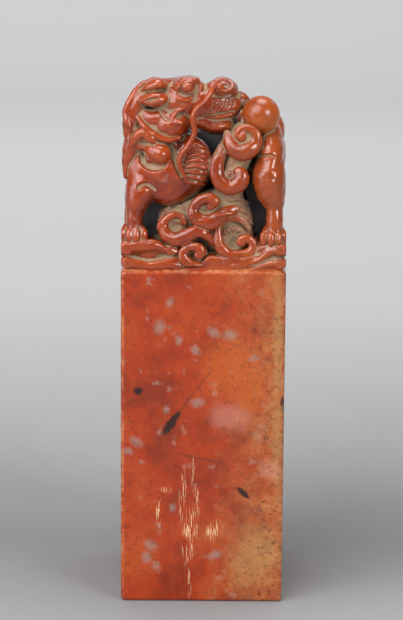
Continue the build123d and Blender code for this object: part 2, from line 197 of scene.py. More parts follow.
milk_places = [
    (-7.9, 52.8, 1.2, 1.5, 10), (4.9, 51.4, 1.5, 1.1, 0), (1.9, 51.8, 1.5, 0.9, 35),
    (-6.0, 57.4, 0.8, 1.2, 20), (-1.3, 48.4, 1.2, 0.8, 30), (9.3, 47.0, 1.1, 0.8, -20),
    (-0.9, 38.6, 1.5, 1.0, -10), (-6.6, 37.2, 0.7, 0.9, 0), (-12.1, 31.0, 1.5, 1.0, 35),
    (-13.6, 29.2, 1.0, 0.8, 20), (-5.4, 18.4, 0.7, 1.0, 0), (-9.4, 11.0, 1.5, 1.1, 25),
    (-10.2, 8.6, 1.0, 1.3, 0), (2.5, 9.2, 1.6, 0.9, -25), (-4.4, 50.3, 0.7, 1.0, 0),
]
milk_size = 0.78
milk_places = [(x, z, milk_size * wide, milk_size * high, turn) for x, z, wide, high, turn in milk_places]
toned = inclusion(polished, fine_spot, toned, paint("#948479"), milk_places, 0.7, 0.55)

# greyish clouding and fine dark specks, most of them on the ochre side
clouding = faded(polished, noise(polished, rough_spot, 0.42, 6.0, 0.72), 0.52, 0.64, 0.8)
toned = mix(polished, maths(polished, "MULTIPLY", clouding, seam), toned, paint("#7A5540"))
pepper = faded(polished, noise(polished, spot, 1.5, 4.0, 0.7), 0.55, 0.61, 0.8)
seam_at_least = maths(polished, "MAXIMUM", seam, 0.5)
toned = mix(polished, maths(polished, "MULTIPLY", pepper, seam_at_least), toned, paint("#4E2415"))

# a dark feather of iron, with the hair vein that it hangs on, and smaller flecks of the same
dark_places = [
    (-5.8, 34.4, 0.8, 2.3, 35), (-4.6, 36.2, 0.35, 1.0, 35), (14.7, 38.2, 0.35, 1.5, 0),
    (7.6, 21.3, 0.5, 1.6, -50), (-11.8, 40.6, 0.8, 0.7, 0),
]
toned = inclusion(polished, fine_spot, toned, paint("#170B08"), dark_places, 0.3, 0.92)
vein_places = [(-2.9, 38.6, 0.22, 2.4, 36), (0.2, 42.9, 0.16, 3.0, 35), (-1.0, 28.0, 4.6, 0.22, 12)]
toned = inclusion(polished, fine_spot, toned, paint("#6A2A16"), vein_places, 0.5, 0.7)

# the scrapes on the front, which break the polish down to pale powder
scrape_places = [
    (-2.2, 12.6, 1.3, 5.4, 4), (-3.6, 20.5, 0.6, 5.0, 3), (-1.3, 22.5, 0.5, 5.5, -6),
    (2.2, 14.0, 1.2, 2.0, 30), (-8.0, 18.0, 0.5, 3.0, 0), (-6.8, 21.8, 1.4, 0.5, 0),
    (-2.2, 4.0, 0.3, 3.0, 0),
]
scrape_spot = ragged(polished, spot, 0.8, 0.5)
upright = add(polished, "Mapping", {"Vector": scrape_spot, "Scale": (4.5, 0.4, 0.32)})
hairs = faded(polished, noise(polished, upright, 1.0, 3.0, 0.55), 0.54, 0.6)
reach_of_scrapes = inclusion(polished, spot, grey(0.0), grey(1.0), scrape_places, 0.45)
scraped = maths(polished, "MULTIPLY", hairs, reach_of_scrapes)
toned = mix(polished, scraped, toned, paint("#E2B487"))

# the worn arrises, rubbed pale along the shoulder and chipped down the corners; the pale edge is part wear
# and part painted highlight
edge_x = maths(polished, "ABSOLUTE", (split, "X"))
edge_y = maths(polished, "ABSOLUTE", (split, "Y"))
corner = maths(polished, "MINIMUM", edge_x, edge_y)
below_shoulder = 48.4  # puts the shoulder's height on the scale of the corners
shoulder = maths(polished, "ADD", (split, "Z"), -below_shoulder)
arris = maths(polished, "MAXIMUM", corner, shoulder)
rubbed_and_painted_highlight = remap(polished, arris, 14.2, 14.75)
nicks = faded(polished, noise(polished, spot, 0.5, 4.0, 0.7), 0.42, 0.62, 0.65)
toned = mix(polished, maths(polished, "MULTIPLY", rubbed_and_painted_highlight, nicks), toned, paint("#C98F5E"))
feed(polished_shader, "Base Color", toned)
gloss = remap(polished, streaks, 0.3, 0.7, 0.15, 0.25)
feed(polished_shader, "Roughness", maths(polished, "MULTIPLY_ADD", scraped, 0.5, gloss, use_clamp=True))

# rubbing marks that run up the block, and the scrapes, a little lower than the polish
grit = add(polished, "Mapping", {"Vector": spot, "Scale": (1.0, 1.0, 0.12)})
marks = noise(polished, grit, 3.5, 3.0, 0.6)
height = maths(polished, "MULTIPLY_ADD", scraped, -0.6, marks)
relief = add(polished, "Bump", {"Height": height, "Strength": 0.12, "Distance": 0.12 * MM})
feed(polished_shader, "Normal", relief)
soapstone_ior = 1.54
polished_shader.inputs["IOR"].default_value = soapstone_ior


def rounded_square(half, radius):
    """The outline of a square with round corners, in mm, anticlockwise."""
    per_side, per_corner = 22, 8
    flat = half - radius
    quarter = [(half, -flat + 2 * flat * step / per_side) for step in range(per_side)]
    turns = [math.radians(90 * step / per_corner) for step in range(per_corner)]
    quarter += [(flat + radius * math.cos(turn), flat + radius * math.sin(turn)) for turn in turns]
    ways = [(math.cos(turn), math.sin(turn)) for turn in (math.radians(90 * i) for i in range(4))]
    return [(x * c - y * s, x * s + y * c) for c, s in ways for x, y in quarter]


def ring_faces(low, high, count):
    """The faces between two rings of count corners, whose first corners are numbered low and high."""
    after = [(i + 1) % count for i in range(count)]
    return [(low + i, low + j, high + j, high + i) for i, j in enumerate(after)]


def put(name, data):
    """A new object, linked into the scene."""
    made = bpy.data.objects.new(name, data)
    bpy.context.scene.collection.objects.link(made)
    return made


# each level of the outline: how far it is drawn in, and its height
foot_round, wax_gap, chip_share = 0.7, 0.02, 0.005
foot_turns = np.radians((0, 22, 45, 67, 90))
levels = [(foot_round * (1 - math.sin(turn)), foot_round * (1 - math.cos(turn))) for turn in foot_turns]
levels += [(0.0, z) for z in np.linspace(1.2, block_top - 1.0, 110)]
levels += [(0.12, block_top - 0.72), (0.34, block_top - 0.5), (0.75, block_top)]
corners, faces = [], []
for inset, z in levels:
    half = block_half - wax_gap - inset
    for x, y in rounded_square(half, max(corner_radius - inset, 0.3)):
        # the chips down the four corners follow no common beat
        beat = 2.3 * z + 1.7 * math.sin(0.9 * z) + (3 if x > 0 else 0) + (5 if y > 0 else 0)
        chip = 0.5 + 0.5 * math.sin(beat)
        at_edge = min(abs(x), abs(y)) > half - corner_radius
        ease = 1 - (chip_share * chip**6 if at_edge else 0)
        corners.append((x * ease, y * ease, z))
around = len(rounded_square(1.0, 0.1))
for ring in range(len(levels) - 1):
    faces += ring_faces(ring * around, (ring + 1) * around, around)
window_half, face_depth = 12.6, 0.8
for z in (0.0, face_depth):
    corners += [(x, y, z) for x, y in rounded_square(window_half, 0.15)]
rim, floor = len(levels) * around, (len(levels) + 1) * around
faces += ring_faces(rim, 0, around) + ring_faces(floor, rim, around)
for start in (floor, (len(levels) - 1) * around):
    faces.append(tuple(start + i for i in range(around)))

# the fret: four square spirals of raised line, left standing when the face was cut back
line_width, line_gap = 1.2, 1.2
for quarter in range(4):
    spots, way, length = [np.zeros(2)], np.array((1.0, 0.0)), line_width + line_gap
    for leg in range(6):
        spots.append(spots[-1] + way * length)
        way = np.array((-way[1], way[0]))
        length += (line_width + line_gap) * (leg % 2)
    middle = np.array((window_half, window_half)) / 2 - (spots[-1] + spots[-3]) / 2
    turn = math.radians(90 * quarter)
    rotate = np.array(((math.cos(turn), -math.sin(turn)), (math.sin(turn), math.cos(turn))))
    spots = [rotate @ (place + middle) for place in spots]
    for a, b in zip(spots[:-1], spots[1:]):
        low = np.minimum(a, b) - line_width / 2
        high = np.maximum(a, b) + line_width / 2
        first = len(corners)
        for z in (0.0, face_depth + 0.1):
            square = ((low[0], low[1]), (high[0], low[1]), (high[0], high[1]), (low[0], high[1]))
            corners += [(x, y, z) for x, y in square]
        faces.append((first + 3, first + 2, first + 1, first))
        faces += ring_faces(first, first + 4, 4)
mesh = bpy.data.meshes.new("grip_block_and_face")
mesh.from_pydata([[c * MM for c in corner] for corner in corners], [], faces)
mesh.validate()
mesh.update()
mesh.materials.append(polished)
block = put("grip_block_and_face", mesh)
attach(block, "root")
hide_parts("grip_block", "seal_face")


# The rock shelves: the foot of the carving, two wavy bands of rock that run round the block with a
# dusty cut between them. They are roughed out with a saw, then rounded with a flat chisel.
pitch = 0.16  # mm between the points that a form is worked out on
outside = 5.0  # mm, the distance held by points that no form reaches
whole_low, whole_high = np.array((-16.0, -16.0, 62.9)), np.array((16.0, 16.0, 98.5))
whole_first = np.floor(whole_low / pitch).astype(int)
whole = np.full(np.ceil(whole_high / pitch).astype(int) - whole_first + 1, outside, np.float32)
forms = []


def smooth_line(places, step=0.6):
    """A smooth line through places, a point every step mm. A place may hold its width too."""
    places = np.array(places, float)
    ends = np.vstack([2 * places[0] - places[1], places, 2 * places[-1] - places[-2]])
    line = []
    for p0, p1, p2, p3 in zip(ends[:-3], ends[1:-2], ends[2:-1], ends[3:]):
        count = max(2, math.ceil(np.linalg.norm((p2 - p1)[:-1]) / step))
        t = (np.arange(count) / count)[:, None]
        bow, twist = 2 * p0 - 5 * p1 + 4 * p2 - p3, 3 * p1 - p0 - 3 * p2 + p3
        line.append(0.5 * (2 * p1 + (p2 - p0) * t + bow * t**2 + twist * t**3))
    return np.vstack([*line, places[-1:]])


def soft_least(a, b, blend):
    """The lesser of two distances, rounded where they are closer than blend."""
    if not blend:
        return np.minimum(a, b)
    return np.minimum(a, b) - np.maximum(blend - np.abs(a - b), 0) ** 2 / (4 * blend)


class Form:
    """A form of the carving, as points in the stone that hold their distance to its surface, in mm."""

    sides = {"front": (1, 1), "back": (1, -1), "left": (0, 1), "right": (0, -1), "top": (2, -1)}

    def __init__(self, name, low, high):
        self.name = name
        self.first = np.floor(np.array(low) / pitch).astype(int)
        size = np.ceil(np.array(high) / pitch).astype(int) - self.first + 1
        self.field = np.full(size, outside, np.float32)

    def window(self, low, high):
        """The form's points from low to high, as their numbers along each axis."""
        start = np.clip(np.floor(low / pitch).astype(int) - self.first, 0, self.field.shape)
        stop = np.clip(np.ceil(high / pitch).astype(int) - self.first + 1, 0, self.field.shape)
        return start, np.maximum(stop, start)

    def grid(self, start, stop):
        """The places in mm of the points from start to stop, along x, y and z, shaped to be combined."""
        return np.ix_(*[(np.arange(a, b) + f) * pitch for a, b, f in zip(start, stop, self.first)])

    def tube(self, line, flat, margin):
        """Distances to a tapering tube along a line. Its depth along y is its width divided by flat."""
        squeeze = np.array((1.0, flat, 1.0))
        route, radii = line[:, :3], line[:, 3] / 2
        reach = (radii.max() + margin) / squeeze
        start, stop = self.window(route.min(0) - reach, route.max(0) + reach)
        near = np.full(stop - start, outside, np.float32)
        for a, b, ra, rb in zip(route[:-1], route[1:], radii[:-1], radii[1:]):
            reach = (max(ra, rb) + margin) / squeeze
            low, high = self.window(np.minimum(a, b) - reach, np.maximum(a, b) + reach)
            if not (high > low).all():
                continue
            x, y, z = ((c - a[i]) * squeeze[i] for i, c in enumerate(self.grid(low, high)))
            run = (b - a) * squeeze
            t = np.clip((x * run[0] + y * run[1] + z * run[2]) / max(run @ run, 1e-9), 0, 1)
            off_axis = (x - t * run[0]) ** 2 + (y - t * run[1]) ** 2 + (z - t * run[2]) ** 2
            gap = np.sqrt(off_axis) - (ra + t * (rb - ra))
            part = tuple(slice(low[i] - start[i], high[i] - start[i]) for i in range(3))
            near[part] = np.minimum(near[part], gap)
        return tuple(slice(start[i], stop[i]) for i in range(3)), near

    def rough_out(self, places, flat=1.0, blend=0.0):
        """Leaves a limb or lump of stone standing along places."""
        part, near = self.tube(smooth_line(places), flat, max(blend, 3 * pitch))
        self.field[part] = soft_least(self.field[part], near, blend)

    def cut_away(self, places, blend):
        """Cuts a hollow along places."""
        part, near = self.tube(smooth_line(places), 1.0, max(blend, 3 * pitch))
        self.field[part] = -soft_least(-self.field[part], near, blend)

    def square_block(self, low, high, rounding, blend=0.0):
        """Leaves a block standing, with rounded edges."""
        start, stop = self.window(np.array(low) - 1.0, np.array(high) + 1.0)
        middle, half = (np.array(low) + high) / 2, (np.array(high) - low) / 2 - rounding
        x, y, z = (np.abs(c - middle[i]) - half[i] for i, c in enumerate(self.grid(start, stop)))
        near = np.sqrt(np.maximum(x, 0) ** 2 + np.maximum(y, 0) ** 2 + np.maximum(z, 0) ** 2)
        near = near + np.minimum(np.maximum(np.maximum(x, y), z), 0) - rounding
        part = tuple(slice(start[i], stop[i]) for i in range(3))
        self.field[part] = soft_least(self.field[part], near.astype(np.float32), blend)

    def on_surface(self, line, side, sink):
        """Sets a line, drawn from one side as two places and a width, into the surface that it meets."""
        axis, inward = self.sides[side]
        others = [i for i in range(3) if i != axis]
        spots = np.round(line[:, :2] / pitch).astype(int) - self.first[others]
        spots = np.clip(spots, 0, np.array(self.field.shape)[others] - 1)
        depth = []
        for a, b in spots:
            place = [slice(None)] * 3
            place[others[0]], place[others[1]] = a, b
            column = self.field[tuple(place)][::inward]
            hit = int(np.argmax(column < 0))
            if column[hit] >= 0 or hit == 0:
                depth.append(np.nan)
                continue
            steps = hit - column[hit] / (column[hit] - column[hit - 1])
            index = steps if inward > 0 else len(column) - 1 - steps
            depth.append((index + self.first[axis]) * pitch)
        depth = np.array(depth)
        good = ~np.isnan(depth)
        if good.sum() < 2:
            return None
        depth = np.interp(np.arange(len(depth)), np.flatnonzero(good), depth[good])
        padded = np.pad(depth, 2, mode="edge")
        depth = np.convolve(padded, np.ones(5) / 5, "valid")
        made = np.zeros((len(line), 4))
        made[:, others] = line[:, :2]
        made[:, axis] = depth + inward * sink
        made[:, 3] = line[:, 2]
        return made

    def drawn(self, places, side, height, blend, sign):
        """Leaves (sign 1) or cuts (sign -1) a round line on the surface, and never parts from it."""
        fine_step, most_of_radius = 0.4, 1.6
        line = smooth_line(places, fine_step)
        radius = line[:, 2] / 2
        line = self.on_surface(line, side, sign * (radius - np.minimum(height, radius * most_of_radius)))
        if line is not None:
            part, near = self.tube(line, 1.0, max(blend, 3 * pitch))
            self.field[part] = sign * soft_least(sign * self.field[part], near, blend)

    def ridge(self, places, rise, blend, side="front"):
        """Leaves a rounded ridge standing on the surface, by rise."""
        self.drawn(places, side, rise, blend, 1)

    def groove(self, places, depth, blend=0.15, side="front"):
        """Cuts a round-bottomed groove into the surface, depth deep."""
        self.drawn(places, side, depth, blend, -1)

    def done(self):
        """Trims the form to the squared stone, and adds it to the whole carving."""
        x, y, z = self.grid((0, 0, 0), self.field.shape)
        # no chisel leaves an even surface: shallow facets, two or three millimetres across
        facet_depth, skin_gap, foot, crown = 0.05, 0.06, 63.3, 97.74
        facets = np.sin(1.7 * x + 1.3 * np.sin(1.1 * z)) * np.sin(1.5 * z + 1.2 * np.sin(1.3 * y))
        facets = facets + 0.5 * np.sin(2.7 * y + 1.1 * x) * np.sin(2.9 * z - 1.3 * x)
        if self.name != "pearl":
            self.field = self.field + facet_depth * facets.astype(np.float32)
        edge = block_half - skin_gap
        past = np.maximum(np.maximum(np.abs(x) - edge, np.abs(y) - edge), np.maximum(z - crown, foot - z))
        self.field = np.maximum(self.field, past.astype(np.float32))
        for axis in range(3):
            place = [slice(None)] * 3
            for end in (0, -1):
                place[axis] = end
                self.field[tuple(place)] = np.maximum(self.field[tuple(place)], 0.1)
        start = self.first - whole_first
        part = tuple(slice(s, s + n) for s, n in zip(start, self.field.shape))
        whole[part] = np.minimum(whole[part], self.field)
        forms.append(self)


def mirrored(places, flip):
    """The same places (flip 1), or those on the far side of the stone (flip -1)."""
    return [(x, y * flip, z, w) for x, y, z, w in places]


shelf = Form("rock_shelves", (-15.6, -15.6, 62.9), (15.6, 15.6, 70.4))
shelf.square_block((-14.4, -14.4, 62), (14.4, 14.4, 65.9), 0.9)
shelf.square_block((-14.4, -12.4, 65.2), (-7.8, 12.4, 68.1), 1, 1)
shelf.square_block((8.8, -12.4, 65.2), (14.4, 12.4, 68.1), 1, 1)
left_bank = [
    (-14.3, -12.9, 66.9, 2.9), (-11.5, -13, 67.1, 2.8), (-8.5, -12.8, 66.7, 2.6), (-6.6, -12.4, 66, 1.8),
    (-5, -12.2, 65.4, 1),
]
right_bank = [
    (14.3, -12.9, 66.9, 2.9), (12, -13, 67.2, 2.7), (10.2, -12.8, 66.8, 2), (9, -12.5, 65.8, 1.4),
    (7, -12.2, 65, 1),
]
for flip in (1, -1):
    shelf.rough_out(mirrored(left_bank, flip), blend=0.6)
    shelf.rough_out(mirrored(right_bank, flip), blend=0.6)
shelf.rough_out([(-6, -13, 66.7, 2.4), (-3, -12.6, 65.1, 1.6)], blend=0.8)
bands = [
    ([
        (-14.1, -14, 67.6, 2.1), (-10.9, -14, 67.7, 2.2), (-8.9, -13.9, 67.8, 2.1),
        (-7.1, -13.7, 67, 1.3), (-5.3, -13.4, 66.4, 0.4),
    ], 0.2),
    ([
        (-13.9, -13.8, 64.7, 2.3), (-9.9, -13.9, 64.1, 2.1), (-6.4, -13.8, 64.3, 2.2),
        (-2.9, -13.7, 63.7, 1.3), (0.5, -13.5, 63.3, 0.6),
    ], 0.15),
    ([
        (1.5, -13.5, 63.5, 0.7), (4.5, -13.9, 64, 1.2), (8, -13.9, 64.4, 1.3), (10.5, -13.9, 65.5, 1.3),
        (12.2, -13.7, 66.9, 2), (14.1, -13.8, 67.2, 2),
    ], 0.2),
    ([
        (6.5, -13.7, 63.4, 0.6), (9.5, -13.9, 64, 1.3), (12.5, -13.9, 64.6, 1.9), (14.2, -13.8, 64.5, 2),
    ], 0.15),
]
for flip in (1, -1):
    for places, blend in bands:
        shelf.rough_out(mirrored(places, flip), blend=blend)
for side, flip in (("left", 1), ("right", -1)):
    for height, width in ((67.1, 2.2), (64.6, 2.2)):
        sway = [(-14.2, 0, 1), (-8, -0.3, 1), (-2, 0.2, 0.8), (4, -0.4, 0.9), (9, 0.1, 1), (14.2, 0, 1)]
        shelf.rough_out([(-13.9 * flip, y, height + up, width * share) for y, up, share in sway], blend=0.2)
    shelf.groove([
        (-14.2, 65.9, 0.7), (-6, 65.6, 0.8), (0, 65.9, 0.6), (6, 65.5, 0.8), (14.2, 65.8, 0.7),
    ], 0.5, side=side)
shelf.groove([
    (-14.5, 65.9, 0.7), (-11.9, 65.5, 0.8), (-9.9, 65.2, 0.9), (-7, 65.5, 0.7), (-4.3, 65.8, 0.6),
], 0.55)
shelf.groove([(8.2, 64.1, 0.4), (10, 64.5, 0.5), (12, 65.4, 0.7), (14.6, 65.5, 0.8)], 0.5)
shelf.groove([(5.2, 63.1, 0.4), (7.5, 63.4, 0.5), (10, 64.2, 0.4)], 0.3)
for flip in (1, -1):
    shelf.cut_away(mirrored([(-2, -15.4, 66.2, 4.6), (-1.9, -12.6, 66.2, 4.2)], flip), 0.8)
shelf.done()


# The cloud mound: rounded scrolls cut one over the other on the mound of stone left under the
# belly. Each is a rolled ridge round a scooped bowl, where pale dust has settled.
mound = Form("cloud_mound", (-15.6, -15.4, 64), (15.6, 15.4, 91.5))
mound.square_block((-8.4, -10.6, 63.5), (8.6, 10.6, 73.5), 1.8)
mound.rough_out([
    (-4.8, -8.7, 71.2, 6.4), (-1, -8.5, 73, 7.4), (4, -8.5, 73.2, 7.4), (5.7, -8.4, 71.3, 6.2),
], blend=1)
mound.rough_out([
    (4.4, -8.4, 74.5, 5.4), (4.8, -8.8, 79.2, 5.2), (6.4, -9, 84.4, 5.4), (7, -9, 87, 5.2),
], flat=0.75, blend=0.8)
mound.rough_out([(-4.8, 7.6, 71, 6.4), (0, 7.6, 73, 7.4), (4.5, 7.6, 72.5, 7.6)], blend=1)
mound.rough_out([
    (4, 7.6, 75, 6), (5, 8, 79, 5.4), (5.4, 8.2, 84, 5.2), (5, 8, 86.5, 5),
], flat=0.75, blend=0.8)
for flip in (1, -1):
    mound.rough_out([(10.9 * flip, 0, 69.5, 6.4), (8.0 * flip, 0, 69.6, 8)], blend=1.2)

# each roll has a boss of stone behind it, and a bowl scooped out of the boss
bosses = [
    (-1.6, 65.6, 4.8, 0.9), (-5.2, 70.8, 5.4, 0), (5.5, 68.6, 7.2, -0.2), (0.3, 73.8, 5, 0),
    (4.8, 79.6, 4.4, 0.5), (7.2, 86.8, 5.4, 0.2),
]
bowls = [(-2, 65.2, 2.2), (-5.2, 70.7, 3.4), (5.4, 68.5, 5.2), (0.3, 73.6, 2.6), (4.6, 79.6, 2.2)]
for flip in (1, -1):
    for x, z, wide, out in bosses:
        boss = [(x, flip * (wide / 2 - deep - out), z, wide) for deep in (11.6, 12.9)]
        mound.rough_out(boss, blend=0.3)
    for x, z, wide in bowls:
        mound.cut_away([(x, flip * -14.6, z, wide), (x, flip * -13.4, z, wide * 0.8)], 0.5)

rolls = [
    # F, the big ring, and its knob
    [
        (3, -12.3, 71.5, 0.8), (2.5, -12.9, 69.6, 1.1), (3, -13.3, 67.4, 1.5), (4.6, -13.4, 65.9, 1.6),
        (6.6, -13.3, 65.6, 1.7), (8.4, -13.1, 66.2, 1.5), (9, -12.9, 67.6, 1.2), (8.3, -12.9, 68.7, 1.2),
        (7.2, -12.9, 68.8, 1.3), (6.7, -12.9, 68.3, 1.2), (7.1, -12.9, 67.9, 0.7),
    ],
    [
        (2.9, -12.5, 71.2, 0.9), (4.2, -12.5, 72.4, 1), (5.8, -12.4, 72.6, 1), (7.2, -12.2, 71.9, 0.9),
        (8.2, -12, 70.6, 0.6),
    ],
    # D, the left roll with its long tail over E
    [
        (-3.4, -12.6, 71.6, 0.7), (-4, -12.6, 72.9, 0.8), (-5.4, -12.6, 73.1, 0.9),
        (-6.8, -12.7, 72.3, 1.1), (-7.3, -12.9, 70.8, 1.4), (-6.6, -13.3, 69.3, 1.7),
        (-5, -13.6, 68.8, 1.9), (-3.3, -13.7, 69.4, 1.9), (-1.6, -13.7, 70.2, 1.6), (0, -13.6, 69.9, 1.3),
        (1.2, -13.3, 68.8, 0.9), (1.5, -13, 67.6, 0.4),
    ],
    # E, the bottom roll, and its knob
    [
        (1, -13.6, 63.8, 0.7), (-0.6, -14, 63.8, 1.3), (-2.2, -14.1, 64.1, 1.6), (-3.5, -14.1, 65.1, 1.5),
        (-3.7, -14, 66.4, 1.2), (-2.7, -13.9, 67.4, 1.1), (-1.3, -14, 67.5, 1.2),
        (-0.5, -14.1, 66.7, 1.4), (-0.9, -14.1, 66, 1.2),
    ],
    # C, the middle roll, whose tail sweeps up to the right
    [
        (1.2, -12.9, 74.9, 1.1), (1.9, -12.9, 75.7, 1.5), (0.8, -12.8, 76.2, 1.5),
        (-0.7, -12.8, 75.8, 1.4), (-1.7, -12.9, 74.6, 1.4), (-1.8, -13.1, 73.3, 1.6),
        (-0.6, -13.3, 72.1, 2), (1.2, -13.3, 71.9, 2.1), (2.9, -13.1, 72.9, 1.8), (4.4, -12.7, 73.9, 1.4),
        (5.9, -12.3, 74.2, 1.1), (7.2, -12, 73.8, 0.5),
    ],
    # B, the open hook on its long stem
    [
        (4, -11.6, 87, 0.8), (3.2, -12, 84.9, 1.5), (2.4, -12.3, 83, 1.8), (2.2, -12.6, 81.1, 1.9),
        (2.9, -12.9, 79.4, 2), (4.4, -13, 78.4, 2.1), (6, -13, 78.8, 2.2), (6.8, -12.9, 80, 2),
        (6.3, -12.8, 81.1, 1.5), (5.7, -12.7, 80.8, 0.9),
    ],
    # A, the ball-like roll under the muzzle
    [
        (4.1, -11.7, 87.9, 1), (4.7, -12.3, 86.3, 1.9), (5.9, -12.8, 85, 2.3), (7.5, -12.9, 84.9, 2.4),
        (8.9, -12.6, 85.9, 2), (9.3, -12.5, 87.2, 1.6), (8.8, -12.5, 88.4, 1.3), (7.5, -12.5, 89, 1.1),
        (6.3, -12.6, 88.7, 1), (6, -12.8, 87.7, 0.9), (6.7, -13, 87.3, 1), (7, -13.1, 87.9, 0.8),
    ],
]
roll_width = 1.42
for roll in rolls:
    # flat-topped: wider than they stand out
    roll = [(x, y - 0.02, z, roll_width * w) for x, y, z, w in roll]
    for flip in (1, -1):
        mound.rough_out(mirrored(roll, flip), flat=1.3, blend=0.1)
# low outer outlines, which follow the rolls like a second lip, by their rise
outlines = [
    (0.35, [(-8.1, 69.3, 0.5), (-8, 71.5, 0.7), (-6.5, 73.8, 0.8), (-4.6, 74.4, 0.7), (-3.4, 73.9, 0.4)]),
    (0.35, [(-4.7, 66.4, 0.5), (-3.7, 67.9, 0.7), (-1.6, 68.8, 0.7), (0.4, 68.3, 0.6), (1.2, 67, 0.4)]),
    (0.4, [
        (2.3, 73.3, 0.5), (4.2, 73.6, 0.7), (6.1, 73.4, 0.8), (7.9, 72, 0.8), (9, 70.1, 0.6),
        (9.4, 68.9, 0.4),
    ]),
    (0.35, [(4.5, 75.7, 0.5), (6.1, 75.8, 0.7), (7.5, 75, 0.7), (8.3, 73.6, 0.5)]),
]
for side in ("front", "back"):
    for rise, places in outlines:
        mound.ridge(places, rise, 0.08, side=side)
for turn in np.radians(range(40, 240, 30)):
    # short cuts that fan out across the widest bowl, fewer than on the stone
    c, s = math.cos(turn), math.sin(turn)
    cut = [(5.2 + out * c, 68.6 + out * s, wide) for out, wide in ((0.9, 0.3), (1.4, 0.42), (1.9, 0.3))]
    mound.groove(cut, 0.2, 0.05)
for flip in (1, -1):
    # one open roll at each end, between the legs
    turns = [(math.radians(a), 3.0 - 0.0052 * a) for a in range(-60, 400, 20)]
    open_roll = [(flip * 13.9, r * math.cos(a), 69.6 + r * math.sin(a), 1.5) for a, r in turns]
    mound.rough_out(open_roll, blend=0.1)
    mound.cut_away([(flip * 14.6, 0, 69.6, 3.4), (flip * 13.8, 0, 69.6, 2.6)], 0.4)
mound.done()


# The pearl: a ball of the same stone that the beast guards, left standing between the muzzle and
# the rump. It is filed round and rubbed brighter than the rest.
pearl = Form("pearl", (6, -14.5, 86.5), (14.8, -4.5, 95.5))
pearl_width = 6.8
pearl.rough_out([(10.15, -9.5, 91.05, pearl_width), (10.2, -9.45, 90.9, pearl_width)])
pearl.done()


# The body: a lion-like beast, roughed out square with the stone, then rounded. Its near shoulder
# is left full and plain, and the legs are drawn in at the wrist above four clawed paws.
body = Form("beast_body", (-15.4, -15.4, 66), (15.4, 15.4, 96.5))
body.rough_out([
    (-10.8, 0, 82.1, 7.7), (-8.7, 0, 81.7, 12.4), (-4.2, 0, 81.4, 11.8), (0.9, 0.4, 81.7, 7.4),
    (6, 0.4, 82.1, 7.2), (9.6, 0, 82.6, 10.2), (11.1, 0, 81.9, 8.2),
], flat=0.56)
body.rough_out([
    (-6.9, -0.7, 82.8, 9.2), (-7.8, -1.2, 86.9, 10.2), (-7.8, -1.8, 90.6, 10), (-6.9, -2.4, 92.6, 7.5),
], flat=0.54, blend=1)
# flat, blend and places of what both flanks have: the barrel, the foreleg, then the hind leg
limbs = [
    (0.86, 1.2, [
        (-10.4, -8, 80.8, 8.6), (-7, -8.1, 80.9, 9.8), (-3.4, -8, 81, 8.8), (-1.8, -7.9, 81.2, 6.6),
    ]),
    (0.8, 1, [
        (-10, -8.8, 77.7, 5.6), (-6.5, -9, 77.1, 6), (-3.6, -8.8, 77.9, 5.4), (-1.1, -8.4, 79.2, 4),
    ]),
    (0.86, 0.7, [
        (-11.2, -10.4, 78, 6), (-11.9, -11.2, 76.1, 4.9), (-12.4, -11.8, 73.9, 3.5),
        (-12.6, -12.3, 72.1, 2.9), (-12.6, -12.3, 70.4, 3),
    ]),
    (0.7, 1, [(11.6, -7, 87, 5), (11.9, -9.6, 84.6, 5), (12, -10.4, 83.2, 4.6)]),
    (0.8, 0.3, [
        (11.9, -10.4, 82.4, 5.2), (11.7, -11, 80.1, 6.1), (12, -11.2, 77.7, 5.6),
        (12.5, -11.3, 75.7, 4.2),
    ]),
    (0.86, 0.3, [
        (12.7, -10.6, 76.8, 3.8), (12.8, -11.8, 74, 3.1), (12.8, -12.3, 72.1, 3),
        (12.7, -12.3, 70.4, 3.2),
    ]),
]
# the ball of the shoulder, a comma that rolls over a crescent hollow
commas = [
    (1, 0.2, [
        (-9.9, -11.6, 85.1, 1.8), (-8.9, -12.2, 84.7, 3.2), (-7.9, -12.4, 84.2, 3.9),
        (-7.2, -12.1, 84.3, 3.2),
    ]),
    (0.9, 0.5, [
        (-12.4, -9.6, 85.7, 3.4), (-10, -9.9, 86, 4.2), (-7, -9.7, 85.5, 4.4), (-4.7, -9.3, 84.8, 4),
    ]),
    (1, 0.1, [
        (-13, -11.4, 85.8, 1.1), (-12.2, -11.9, 87.2, 1.6), (-11.2, -12.1, 88, 1.7),
        (-10.2, -12.3, 87.6, 1.8), (-9.4, -12.4, 86.9, 1.7), (-8.8, -12.4, 86.2, 1.2),
    ]),
]
